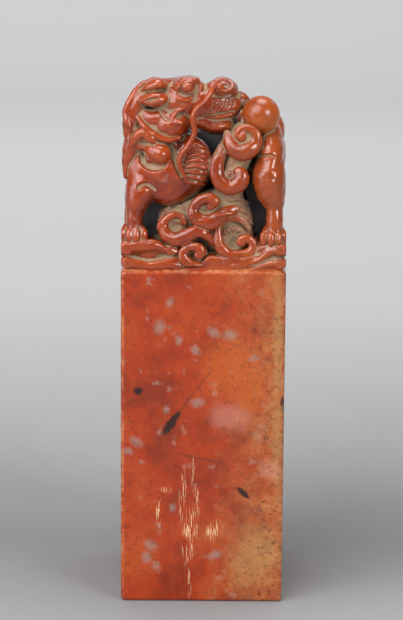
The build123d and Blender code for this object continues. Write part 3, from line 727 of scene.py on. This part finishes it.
# the heights of each paw's knuckles and tips, and its claws: root x, tip x, tip y and width
paws = [
    ((71.2, 70, 68.7, 68.1), [
        (-13.8, -14.3, -12.9, 1.5), (-13.2, -13.4, -14, 1.4), (-12.4, -12.2, -14.2, 1.5),
        (-11.6, -10.9, -13.6, 1.5),
    ]),
    ((70.8, 69.6, 68.5, 67.9), [
        (11.7, 10.9, -13.6, 1.5), (12.5, 12.2, -14.2, 1.5), (13.3, 13.5, -14, 1.4),
        (13.8, 14.3, -12.9, 1.5),
    ]),
]
for flip, side in ((1, "front"), (-1, "back")):
    for flat, blend, places in limbs:
        body.rough_out(mirrored(places, flip), flat, blend)
    for heel_x in (-12.5, 12.6):
        heel = [(heel_x, -11.6, 69.6, 4), (heel_x, -12.2, 69.4, 3.6)]
        body.rough_out(mirrored(heel, flip), blend=0.6)
    for (wrist, knuckle, low, tip), claws in paws:
        for root_x, x, y, wide in claws:
            claw = [
                (root_x, y + 1.2, wrist, wide * 0.7), (x, y + 0.2, knuckle, wide),
                (x, y, low, wide * 0.9), (x, y, tip, wide * 0.5),
            ]
            body.rough_out(mirrored(claw, flip), blend=0.12)
    # the elbow's hollow, the knee's crease, and the crescent under the shoulder
    body.groove([
        (-11.8, 78.3, 0.8), (-11.1, 78.8, 1.1), (-10.2, 78.8, 1.2), (-9.4, 78.3, 1), (-8.8, 77.7, 0.5),
    ], 0.6, side=side)
    body.groove([
        (9.7, 83.7, 0.4), (10.6, 84.1, 0.6), (11.7, 84.3, 0.6), (12.5, 84, 0.3),
    ], 0.35, side=side)
    body.groove([
        (-11.3, 84, 0.9), (-10.9, 82.7, 1.5), (-9.6, 82.1, 1.8), (-8.2, 82.1, 1.7), (-7.2, 82.7, 1.2),
        (-6.9, 83.1, 0.6),
    ], 0.75, side=side)
    for flat, blend, places in commas:
        body.rough_out(mirrored(places, flip), flat, blend)
    # the cut under the comma, and a flat strip beside the whisker
    body.groove([(-11.8, 86, 0.6), (-10.9, 86, 0.8), (-9.8, 86, 0.7), (-8.8, 85.8, 0.4)], 0.5, side=side)
    body.groove([
        (-6.3, 86.2, 1.2), (-5.6, 85, 1.7), (-5, 83.2, 1.5), (-4.5, 81.6, 1.1), (-4.2, 80.2, 0.5),
    ], 0.5, side=side)
# the stone that closes the hollows, the tail over the rump, and the cut under the jaw
body.square_block((-10.5, 1.5, 64), (11.5, 7, 79), 1, 1)
body.rough_out([
    (12, 1.5, 82.4, 3.4), (13, 4.5, 84.8, 3.7), (12.6, 7.2, 86.9, 3.7), (9.9, 7.5, 87.5, 3.7),
    (7.5, 5.1, 87.2, 3.6), (6.9, 2.4, 85.8, 3),
], blend=0.2)
body.rough_out([
    (-3, 1.8, 87.5, 2), (0.9, 2.1, 85.7, 2), (5.4, 2.1, 85.3, 2), (9.9, 1.8, 87.2, 1.8),
], flat=1.2, blend=0.3)
body.cut_away([(1, -6.5, 87.2, 4.6), (3.6, -6, 86.4, 4.6), (3.8, -3, 86.4, 3.6)], 0.6)
# the fan of locks on the chest
fan = [
    [(-2.7, 85.4, 0.7), (-1.3, 85.8, 0.9), (0.1, 85.1, 0.5)],
    [(-2.9, 84.6, 0.7), (-1.3, 85, 0.95), (0.5, 84.3, 0.8), (1.1, 83.6, 0.3)],
    [(-3.1, 83.8, 0.7), (-1.4, 84.2, 0.95), (0.5, 83.5, 0.85), (1.5, 82.7, 0.3)],
    [(-3.3, 82.9, 0.7), (-1.4, 83.3, 0.95), (0.7, 82.6, 0.85), (1.8, 81.8, 0.3)],
    [(-3.4, 82, 0.7), (-1.4, 82.3, 0.95), (0.7, 81.6, 0.85), (1.8, 80.9, 0.3)],
    [(-3.4, 81.1, 0.7), (-1.3, 81.2, 0.95), (0.6, 80.6, 0.85), (1.6, 80, 0.3)],
    [(-3.3, 80.2, 0.7), (-1.3, 80.1, 0.95), (0.3, 79.6, 0.8), (1.2, 79.1, 0.3)],
    [(-3, 79.3, 0.7), (-1.3, 79, 0.9), (0.1, 78.5, 0.5)],
]
body.rough_out([
    (-3, -8.6, 85, 4.6), (-1.7, -9.3, 83.2, 6.2), (-1.5, -9.4, 81.4, 6.4), (-2.4, -8.8, 79.4, 5),
], flat=0.8, blend=0.6)
for lock in fan:
    body.ridge(lock, 0.4, 0.04)
body.done()


# The mane: long locks that part at the crest of the neck and fall in two tiers over its back. They
# are grooved out of the neck's own stone and joined to it along their whole length.
mane = Form("mane", (-15.4, -15, 78), (-2, 15, 98.2))
crest_slope, spread = 0.27, 1.15  # the crest falls toward the far side, and the tips fan out
for y in (-9, -5.6, -2, 1.6, 5.2, 8.8):
    fall = crest_slope * (y + 9)
    y_low = y * spread
    mane.rough_out([
        (-5, y * 0.9, 95.6 - fall, 2.6), (-8.6, y, 95.6 - fall, 3.4),
        (-11.8, y * 1.08, 93.2 - 0.8 * fall, 3.6), (-13.2, y_low, 90.0 - 0.3 * fall, 3),
        (-13.7, y_low, 87.8 - 0.1 * fall, 1.9), (-13.9, y_low, 86.4, 0.8),
    ], blend=0.15)
    mane.rough_out([
        (-12.6, y_low, 88, 2.6), (-13.4, y_low, 84.8, 2.7), (-13.9, y_low, 82, 2),
        (-14.2, y_low, 79.6, 0.8),
    ], blend=0.15)
    for shift in (-0.9, 0.9):
        mane.groove([
            (y_low + shift, 93.6 - 0.5 * fall, 0.3), (y_low + shift * 1.05, 90.6 - 0.3 * fall, 0.55),
            (y_low + shift * 0.8, 88, 0.3),
        ], 0.25, 0.05, side="left")
        mane.groove([
            (y_low + shift, 86.4, 0.3), (y_low + shift * 0.8, 84, 0.5), (y_low + shift * 0.5, 81.4, 0.3),
        ], 0.25, 0.05, side="left")
mane.ridge([
    (-8.5, 97.8, 0.7), (-11.3, 96.2, 1.2), (-13.1, 94, 1.4), (-14, 91.8, 1.5), (-13.9, 90.2, 1.4),
    (-13.4, 89.2, 0.8),
], 0.6, 0.1)
mane.done()


# The head, in profile: a wedge of stone with the ear, the eye under a horned brow, the knobbed
# nose, the hatched upper lip and the parted mouth, over a round cheek.
head = Form("beast_head", (-13.8, -15.2, 84), (10.5, 4.5, 98.2))
head.rough_out([
    (-9, -6.2, 92.2, 6.6), (-6, -6.9, 93, 8.2), (-3, -7.2, 93, 7.8), (0, -7.3, 92.6, 7),
    (2.6, -7.4, 92.4, 6.4), (4.2, -7.4, 92.4, 5.2),
], flat=0.8)
head.rough_out([(-4.7, -8, 96.1, 2.4), (-2.7, -8, 96.7, 2.2), (-1.1, -8, 95.9, 1.8)], flat=0.3, blend=0.4)
head.rough_out([
    (1.4, -7.6, 95.2, 3), (3.2, -7.6, 95.4, 4.2), (4.4, -7.6, 95.2, 3.4),
], flat=0.56, blend=0.3)
head.rough_out([
    (-1.1, -7.6, 89.9, 3.2), (1.9, -7.6, 89.1, 3.6), (3.9, -7.6, 89, 3),
], flat=0.45, blend=0.2)
head.rough_out([
    (-11.4, -9.4, 90.9, 3), (-9.8, -9.6, 89.1, 4.2), (-7.6, -9.6, 88.2, 4.4), (-5.3, -9.2, 88.2, 3.8),
], flat=0.85, blend=0.6)
head.rough_out([
    (5, -6.5, 93.4, 3.2), (6.6, -6.8, 93.2, 2.9), (7.6, -6.8, 92.4, 2.2),
], flat=0.8, blend=0.3)
head.rough_out([(-3.4, -3.5, 95.4, 1.7), (-3, -3.4, 95.3, 1.7)], blend=0.2)
head.rough_out([
    (-11.4, 0.8, 92.6, 1), (-10.2, 1.4, 93.2, 2.2), (-8.7, 1.3, 93.4, 2.5), (-7.2, 0.6, 93.2, 2),
], blend=0.1)
head.rough_out([
    (-7.6, -10.6, 89.9, 4), (-6, -10.8, 89.3, 5), (-4.5, -10.8, 89.7, 4),
], flat=0.9, blend=0.3)
head.rough_out([
    (-11, -10.2, 91, 2.6), (-9.4, -10.6, 90.4, 3.4), (-7.6, -10.6, 90.9, 3.4),
], flat=0.9, blend=0.4)
head.groove([(0.3, 91.2, 0.5), (2.2, 91.3, 0.8), (4, 91.6, 0.7), (5.4, 91.8, 0.5)], 0.9, 0.05)
head.ridge([(0.1, 90.7, 0.4), (1.8, 90.7, 0.7), (3.8, 91, 0.9), (4.8, 91.2, 0.6)], 0.3, 0.1)
for x in (3.5, 4, 4.5, 5):
    head.groove([(x, 91.3, 0.2), (x - 0.15, 90.6, 0.22)], 0.2, 0.05)
# the lip's whisker roots
for x in (1.2, 2, 2.7, 3.4, 4.1, 4.8):
    head.groove([
        (x + 0.7, 94.1 - 0.1 * x, 0.22), (x + 0.3, 92.9, 0.34), (x - 0.4, 91.9, 0.22),
    ], 0.26, 0.05)
# the nose: a ball and a nostril that curls round a pit
head.groove([
    (1, 94.7, 0.3), (1.3, 96, 0.4), (2, 97.1, 0.45), (3.4, 97.4, 0.4), (4.7, 97.1, 0.3),
], 0.35, 0.08)
head.groove([(1.6, 94.6, 0.4), (3.2, 94.5, 0.6), (5, 94.8, 0.5)], 0.5, 0.08)
head.ridge([(2.2, 95.7, 1.4), (2.7, 96.1, 1.6), (3.1, 95.8, 1.2)], 0.5, 0.2)
head.groove([(3.7, 96.4, 0.7), (4.3, 96.6, 0.8), (4.5, 96.2, 0.5)], 0.45, 0.08)
head.ridge([
    (3.2, 95.6, 0.5), (4.2, 95.5, 0.6), (5, 96, 0.6), (4.9, 96.8, 0.5), (4.1, 97.2, 0.4),
], 0.3, 0.1)
# the brow's horn and the eye in its lids
head.groove([(-1.1, 97.6, 0.8), (-1.3, 96.2, 1.1), (-1.5, 94.8, 1), (-2, 93.8, 0.7)], 0.7, 0.3)
head.groove([(-4.7, 95.1, 0.4), (-3.7, 94.7, 0.6), (-2.3, 94.8, 0.5)], 0.45, 0.1)
head.ridge([(-4.8, 94.2, 0.7), (-3.9, 94, 1), (-3, 93.9, 0.8)], 0.45, 0.15)
head.ridge([
    (-4.3, 96.2, 0.5), (-4, 97.2, 0.6), (-3, 97.5, 0.7), (-2.3, 97, 0.6), (-2.2, 96, 0.6),
    (-3, 95.5, 0.6), (-3.9, 95.6, 0.5),
], 0.4, 0.08)
head.groove([(-6, 96.4, 0.4), (-5.1, 96.3, 0.5), (-4.7, 95.9, 0.3)], 0.3, 0.1)
head.rough_out([(-3.3, -11.7, 96.2, 1.7), (-3.1, -11.7, 96.2, 1.7)], blend=0.05)
eye_turns = np.radians(range(0, 361, 45))
head.groove([(-3.1 + 1.25 * math.cos(a), 95.9 + 1.15 * math.sin(a), 0.5) for a in eye_turns], 0.35, 0.05)
head.rough_out([
    (-3.9, -9.6, 97.1, 1.1), (-2.9, -9.6, 97.6, 1.6), (-1.9, -9.4, 97.4, 1.5), (-1.2, -9.2, 96.8, 0.9),
], flat=0.5, blend=0.1)
# the ear, a slit leaf, with a fold over it
head.rough_out([
    (-11, -11.6, 93.9, 1.6), (-9.6, -12, 94, 2.6), (-8.3, -12, 94.1, 2.7), (-7.6, -11.8, 94.2, 2.2),
], flat=0.9, blend=0.08)
head.groove([(-10.7, 93.9, 0.3), (-9.9, 94.1, 0.8), (-9, 94.3, 0.7), (-8.2, 94.5, 0.25)], 0.6, 0.05)
head.rough_out([
    (-11, -10.6, 95.5, 1), (-9.6, -10.9, 96.3, 2), (-8.2, -10.9, 96.7, 2.2), (-7.3, -10.6, 96.5, 1.4),
], flat=0.6, blend=0.08)
head.groove([(-11.5, 95, 0.4), (-10, 95.6, 0.5), (-8.4, 95.8, 0.5), (-7.2, 95.7, 0.4)], 0.35, 0.05)
# the cheek's rim and its curl
head.groove([(-8.1, 92, 0.4), (-7.3, 91, 0.6), (-6.4, 90.5, 0.6), (-5.6, 90.6, 0.4)], 0.35, 0.08)
head.ridge([(-3.8, 92.4, 0.5), (-4.7, 92.1, 0.8), (-5.5, 91.4, 0.8), (-5.9, 90.5, 0.6)], 0.4, 0.1)
head.groove([(-3.7, 91.7, 0.5), (-4.5, 91.3, 0.7), (-4.9, 90.7, 0.5)], 0.45, 0.1)
head.ridge([(-5.1, 90.1, 0.8), (-4.6, 90.1, 1.1), (-4.1, 90, 0.8)], 0.3, 0.15)
head.done()


# The jowl and the whiskers: thin rounded ribbons that leave the lip and fall past the jaw. They are
# undercut at the sides, and stay joined to the head and the chest behind them.
whiskers = Form("whiskers", (-12.5, -15.2, 78), (3.4, 3.4, 98))
whiskers.rough_out([
    (-12.2, -11, 91, 1), (-11.2, -11.5, 89.7, 1.3), (-10, -11.9, 88.4, 1.5), (-8.5, -12.1, 87.5, 1.5),
    (-6.4, -12.2, 86.9, 1.4), (-4.6, -12, 87.2, 1),
], flat=0.7)
near_whisker = [
    (1.7, -11.9, 96.9, 0.5), (1.3, -12.5, 95.8, 0.9), (0.7, -12.8, 94.9, 1), (-0.1, -13.2, 93.9, 1.1),
    (-1.3, -13.6, 92.8, 1.15), (-2, -13.8, 91.5, 1.15), (-2, -13.8, 90.1, 1.1), (-1.8, -13.8, 88.7, 1.05),
    (-2.2, -13.8, 87.2, 1.05), (-3, -13.9, 85.9, 1.05), (-4, -14, 84.7, 1.05), (-4.5, -14, 83.3, 1),
    (-4.2, -14, 81.9, 0.95), (-3.6, -13.9, 80.7, 0.75), (-3.1, -13.7, 79.6, 0.4),
]
whiskers.rough_out(near_whisker, flat=0.6)
head_middle = -7.4
# the far one is seen only where it leaves the lip
whiskers.rough_out([(x, 2 * head_middle - y, z, w) for x, y, z, w in near_whisker[2:7]], flat=0.6)
whiskers.done()


# Carved soapstone: the same waxed stone, cut with chisels. The eye gets a wet-looking shine on the
# rounded tops, which are painted lighter, part rubbing wear and part painted highlight; painted brown
# and black shade in the cuts and hollows; and dry beige dust packed where a cloth can't reach.
def blurred(block, reach):
    """The block with each value spread over reach mm each way."""
    steps = max(1, round(reach / pitch))
    for _ in range(2):
        for axis in range(3):
            pads = [(steps + 1, steps) if i == axis else (0, 0) for i in range(3)]
            total = np.cumsum(np.pad(block, pads, mode="edge"), axis=axis, dtype=np.float32)
            ahead = np.take(total, range(2 * steps + 1, total.shape[axis]), axis=axis)
            behind = np.take(total, range(0, total.shape[axis] - 2 * steps - 1), axis=axis)
            block = (ahead - behind) / (2 * steps + 1)
    return block


def read_at(block, places):
    """The block's value at places in mm, between its points."""
    spots = places / pitch - whole_first
    base = np.clip(np.floor(spots).astype(int), 0, np.array(block.shape) - 2)
    share = spots - base
    total = 0
    for corner in np.ndindex(2, 2, 2):
        weight = np.prod(np.where(corner, share, 1 - share), axis=1)
        total = total + weight * block[tuple((base + corner).T)]
    return total


def skin(form):
    """The surface of a form: a corner in each cell that the surface passes, and a face round each edge."""
    field, inside = form.field, form.field < 0
    size = np.array(field.shape)
    count = np.zeros(size - 1, np.int8)
    for corner in np.ndindex(2, 2, 2):
        count += inside[tuple(slice(c, c + n - 1) for c, n in zip(corner, size))]
    cells = np.argwhere((count > 0) & (count < 8))
    number = np.full(size - 1, -1, np.int32)
    number[tuple(cells.T)] = np.arange(len(cells))
    total, hits = np.zeros((len(cells), 3)), np.zeros(len(cells))
    quads = []
    for axis in range(3):
        step = np.eye(3, dtype=int)[axis]
        u, v = (axis + 1) % 3, (axis + 2) % 3
        du, dv = np.eye(3, dtype=int)[u], np.eye(3, dtype=int)[v]
        for a in (0, 1):
            for b in (0, 1):
                offset = a * du + b * dv
                start = cells + offset
                low, high = field[tuple(start.T)], field[tuple((start + step).T)]
                crossing = (low < 0) != (high < 0)
                share = low[crossing] / (low[crossing] - high[crossing])
                total[crossing] += offset + step * share[:, None]
                hits += crossing
        lower = inside[tuple(slice(0, -1) if i == axis else slice(None) for i in range(3))]
        upper = inside[tuple(slice(1, None) if i == axis else slice(None) for i in range(3))]
        edges = np.argwhere(lower != upper)
        at_u, at_v = edges[:, u], edges[:, v]
        edges = edges[(at_u > 0) & (at_v > 0) & (at_u < size[u] - 1) & (at_v < size[v] - 1)]
        quad = np.stack([number[tuple((edges - o).T)] for o in (du + dv, dv, 0 * du, du)], axis=1)
        leaving = lower[tuple(edges.T)]
        quads.append(np.where(leaving[:, None], quad, quad[:, ::-1]))
    places = (cells + total / hits[:, None] + form.first) * pitch
    return places, np.vstack(quads)


carved, carved_shader = new_material("carved_waxed_soapstone")
spot, stone_colour = mottled_stone(carved, paint("#84290A"), paint("#4E1708"), paint("#A44312"))
split = add(carved, "SeparateXYZ", {"Vector": spot})
rightward = remap(carved, (split, "X"), 1.0, 12.0, 0.0, 0.55)
stone_colour = mix(carved, rightward, stone_colour, paint("#974A1C"))
layers = ("dust", "shade", "wear")
dust, shade, wear = ((add(carved, "Attribute", attribute_name=name), "Fac") for name in layers)
uneven = maths(carved, "MULTIPLY_ADD", noise(carved, spot, 0.9, 5.0, 0.65), 0.7, dust)
dusty = remap(carved, uneven, 0.47, 0.9, 0.0, 0.88)
# painted black shade where the painted shade is deepest
black_painted_shade = remap(carved, shade, 0.75, 1.0, 0.0, 0.9)
# painted highlight and wear: where little stone lies round a point, the rounded tops are painted a lighter
# orange
layered = mix(carved, maths(carved, "MULTIPLY", wear, 0.5), stone_colour, paint("#AE4816"))
# painted brown shade in the cuts, then beige dust, then painted black shade in the deepest hollows
for mask, code in ((shade, "#2A110B"), (dusty, "#A4896A"), (black_painted_shade, "#120A08")):
    layered = mix(carved, mask, layered, paint(code))
feed(carved_shader, "Base Color", layered)
# dull and uncoated where dust lies and where black shade is painted
dust_and_painted_shade = maths(carved, "MAXIMUM", dusty, black_painted_shade)
feed(carved_shader, "Roughness", remap(carved, dust_and_painted_shade, 0.0, 0.7, 0.21, 0.85))
feed(carved_shader, "Coat Weight", remap(carved, dust_and_painted_shade, 0.0, 0.4, 0.35, 0.0))
carved_shader.inputs["Coat Roughness"].default_value = 0.06
carved_shader.inputs["IOR"].default_value = soapstone_ior
tool_marks = noise(carved, spot, 1.4, 4.0, 0.6)
relief = add(carved, "Bump", {"Height": tool_marks, "Strength": 0.35, "Distance": 0.14 * MM})
feed(carved_shader, "Normal", relief)

# Polished orange soapstone, for the pearl: a paler vein of the stone, rubbed until it reflects.
orange, orange_shader = new_material("polished_orange_soapstone")
spot, stone_colour = mottled_stone(orange, paint("#A34A1A"), paint("#7C3012"), paint("#B5611F"))
feed(orange_shader, "Base Color", stone_colour)
orange_shader.inputs["Roughness"].default_value = 0.26
orange_shader.inputs["IOR"].default_value = soapstone_ior

# how much stone lies round each point, near and further off, tells where dust gathers, where shade is
# painted, and where tops are painted lighter
filled = np.clip(0.5 - whole / pitch, 0, 1)
close_fill, wide_fill, deep_fill = blurred(filled, 0.45), blurred(filled, 1.1), blurred(filled, 2.4)
# the deep hollows that are painted dark as shade: a place on both sides, and how far the painted shade
# reaches
hollows = [(2.4, 3.5, 86.6, 5.2), (9.8, 6.0, 75.0, 4.2), (-9.5, 7.5, 71.5, 3.2)]
leg_parts = ("foreleg", "hind_leg", "fore_paw", "hind_paw", "shoulder_curl")
stands_for = {
    "rock_shelves": ["rock_ledge", "left_rock", "right_rock"],
    "cloud_mound": ["cloud_bank", "left_cloud", "right_cloud"]
    + [f"front_cloud_{i}" for i in range(1, 7)]
    + [f"back_cloud_{i}" for i in range(1, 6)],
    "pearl": ["pearl"],
    "beast_body": ["torso", "neck", "throat", "chest_fringe", "tail", "spine_ridge"]
    + [f"{side}_{part}" for side in ("near", "far") for part in leg_parts],
    "mane": [f"{tier}_lock_{i}" for tier in ("mane", "neck") for i in range(1, 6)],
    "beast_head": [
        "skull", "lower_jaw", "nose", "brow", "near_eye", "far_eye", "near_ear", "far_ear", "cheek",
    ],
    "whiskers": ["near_whisker", "far_whisker", "jowl_fold"],
}


def rising(amount, over):
    """Rises from 0, where the amount is nothing or less, to 1, where it is over or more."""
    return np.clip(amount / over, 0, 1)


for form in forms:
    places, quads = skin(form)
    mesh = bpy.data.meshes.new(form.name)
    mesh.vertices.add(len(places))
    mesh.vertices.foreach_set("co", (places * MM).astype(np.float32).ravel())
    mesh.loops.add(len(quads) * 4)
    mesh.loops.foreach_set("vertex_index", quads.astype(np.int32).ravel())
    mesh.polygons.add(len(quads))
    mesh.polygons.foreach_set("loop_start", np.arange(0, len(quads) * 4, 4, dtype=np.int32))
    mesh.update(calc_edges=True)
    mesh.shade_smooth()
    close, wide, deep = (read_at(fill, places) for fill in (close_fill, wide_fill, deep_fill))
    across, along, up = np.abs(places[:, 0]), np.abs(places[:, 1]), places[:, 2]
    # painted shade: the core of the carving, between the two flanks and under the head, is painted dark
    inner_painted_shade = rising(8.5 - along, 2.5) * rising(88 - up, 4) * rising(13.2 - across, 1.5)
    dust_here = rising(close - 0.53, 0.15) * 0.6 + rising(wide - 0.55, 0.16) * 0.5
    # painted shade: darker where more stone lies round a point
    shade_here = rising(wide - 0.5, 0.3) * 0.45 + rising(deep - 0.52, 0.2) * 0.6
    for x, y, z, reach in hollows:
        off = np.sqrt((places[:, 0] - x) ** 2 + (along - y) ** 2 + (up - z) ** 2)
        inner_painted_shade = np.maximum(inner_painted_shade, rising(reach - off, 0.3 * reach))
    shade_here = np.maximum(shade_here, inner_painted_shade)
    # the rounded tops: part rubbing wear, part painted highlight
    wear_and_painted_light_here = rising(0.49 - close, 0.12)
    if form.name == "cloud_mound":
        # dust lies between the rolls, on what is cut back from the front and the back, and painted shade
        # darkens it
        recess = rising(13.2 - along, 0.9) * (across < 10)
        dust_here += 0.32 * recess + 0.06
        shade_here = np.maximum(shade_here, 0.3 * recess)
    if form.name == "beast_head":
        dust_here += 0.1
    dust_here *= 1 - 0.8 * inner_painted_shade
    for name, values in zip(layers, (dust_here, shade_here, wear_and_painted_light_here)):
        mesh.attributes.new(name, "FLOAT", "POINT").data.foreach_set("value", values.astype(np.float32))
    mesh.materials.append(orange if form.name == "pearl" else carved)
    piece = put(form.name + "_stone", mesh)
    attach(piece, "root")
    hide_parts(*stands_for[form.name])


# The table and the wall behind: one sheet of pale grey paper that bends up out of sight, so that
# the stone stands clear of it. Its greys are painted light and shade: darkest a little behind the
# stone, a painted shadow, as in the photo, and painted lighter up the wall.
sweep, sweep_shader = new_material("pale_grey_paper_sweep")
coords = add(sweep, "TexCoord")
split = add(sweep, "SeparateXYZ", {"Vector": (coords, "Object")})
away = remap(sweep, (split, "Y"), -0.05, 0.75)
# the painted greys of light and shade, from the table's near part to the wall, as shares of the way
painted_light_greys = [
    (0.0, "#9A9A9A"), (0.0375, "#8F8F8F"), (0.0625, "#838383"), (0.0875, "#7E7E7E"), (0.164, "#939393"),
    (0.339, "#B5B5B5"), (0.6175, "#CBCBCB"), (1.0, "#CECECE"),
]
painted_light_ramp = add(sweep, "ValToRGB", {"Fac": away}, [(place, paint(code)) for place, code in painted_light_greys])
fibres = noise(sweep, (coords, "Object"), 400.0, 3.0, 0.5)
tint = remap(sweep, fibres, 0.0, 1.0, 0.985, 1.015)
toned = add(sweep, "VectorMath", {"Vector": painted_light_ramp, "Scale": tint}, operation="SCALE")
feed(sweep_shader, "Base Color", toned)
sweep_shader.inputs["Roughness"].default_value = 0.9
sweep_shader.inputs["Specular IOR Level"].default_value = 0.1
half_run, bend, bend_start = 1.2, 0.35, 0.55
angles = [math.radians(90 * step / 24) for step in range(25)]
spots = [(bend_start + bend * math.sin(angle), bend - bend * math.cos(angle)) for angle in angles]
profile = [(-1.6, 0.0), *spots, (0.9, 2.0)]
corners = [(x, y, z) for y, z in profile for x in (-half_run, half_run)]
faces = [(2 * i, 2 * i + 1, 2 * i + 3, 2 * i + 2) for i in range(len(profile) - 1)]
mesh = bpy.data.meshes.new("table_and_wall")
mesh.from_pydata(corners, [], faces)
mesh.shade_smooth()
mesh.materials.append(sweep)
table = put("table_and_wall", mesh)


# The lights: a broad soft box above on the left, a weaker fill on the right, a cool window far to
# the left, a box overhead, and a faint even sky.
def soft_box(name, place, aim, size, power, tone=(1.0, 1.0, 1.0)):
    """A square soft light that faces a place."""
    lamp = bpy.data.lights.new(name, "AREA")
    lamp.size, lamp.energy, lamp.color = size, power, tone
    made = put(name, lamp)
    made.location = place
    way = np.array(aim) - np.array(place)
    made.rotation_euler = Vector(way).to_track_quat("-Z", "Y").to_euler()


soft_box("key", (-0.42, -0.6, 0.72), (0, 0, 0.06), 0.75, 8.6)
soft_box("fill", (0.55, -0.6, 0.35), (0, 0, 0.05), 0.3, 3.8)
soft_box("cool_window", (-0.8, -0.35, 0.35), (0, 0, 0.07), 0.75, 4.5, (0.86, 0.9, 1.0))
soft_box("top", (0.05, 0.1, 0.9), (0, 0, 0.05), 0.5, 5.2)
world = bpy.data.worlds.new("even_sky")
bpy.context.scene.world = world
world.use_nodes = True
sky = world.node_tree.nodes["Background"]
sky.inputs["Color"].default_value, sky.inputs["Strength"].default_value = (1, 1, 1, 1), 0.13


# The camera: a long lens at the photo's angle, which looks down on the stone by 14 degrees. It
# aims at the front of the block, and is turned by a trace, as the photo is.
camera = put("camera", bpy.data.cameras.new("camera"))
bpy.context.scene.camera = camera
camera.data.lens, camera.data.sensor_width = 153.7, 36.0
tilt, roll, distance = math.radians(14), math.radians(0.4), 0.48
aim = np.array((-0.3, -15.0, 56.03)) * MM
camera.location = aim + distance * np.array((0, -math.cos(tilt), math.sin(tilt)))
camera.rotation_mode = "ZXY"
camera.rotation_euler = (math.radians(90) - tilt, 0, roll)
camera.data.clip_start, camera.data.clip_end = 0.01, 20
bpy.context.scene.view_settings.view_transform = "Standard"
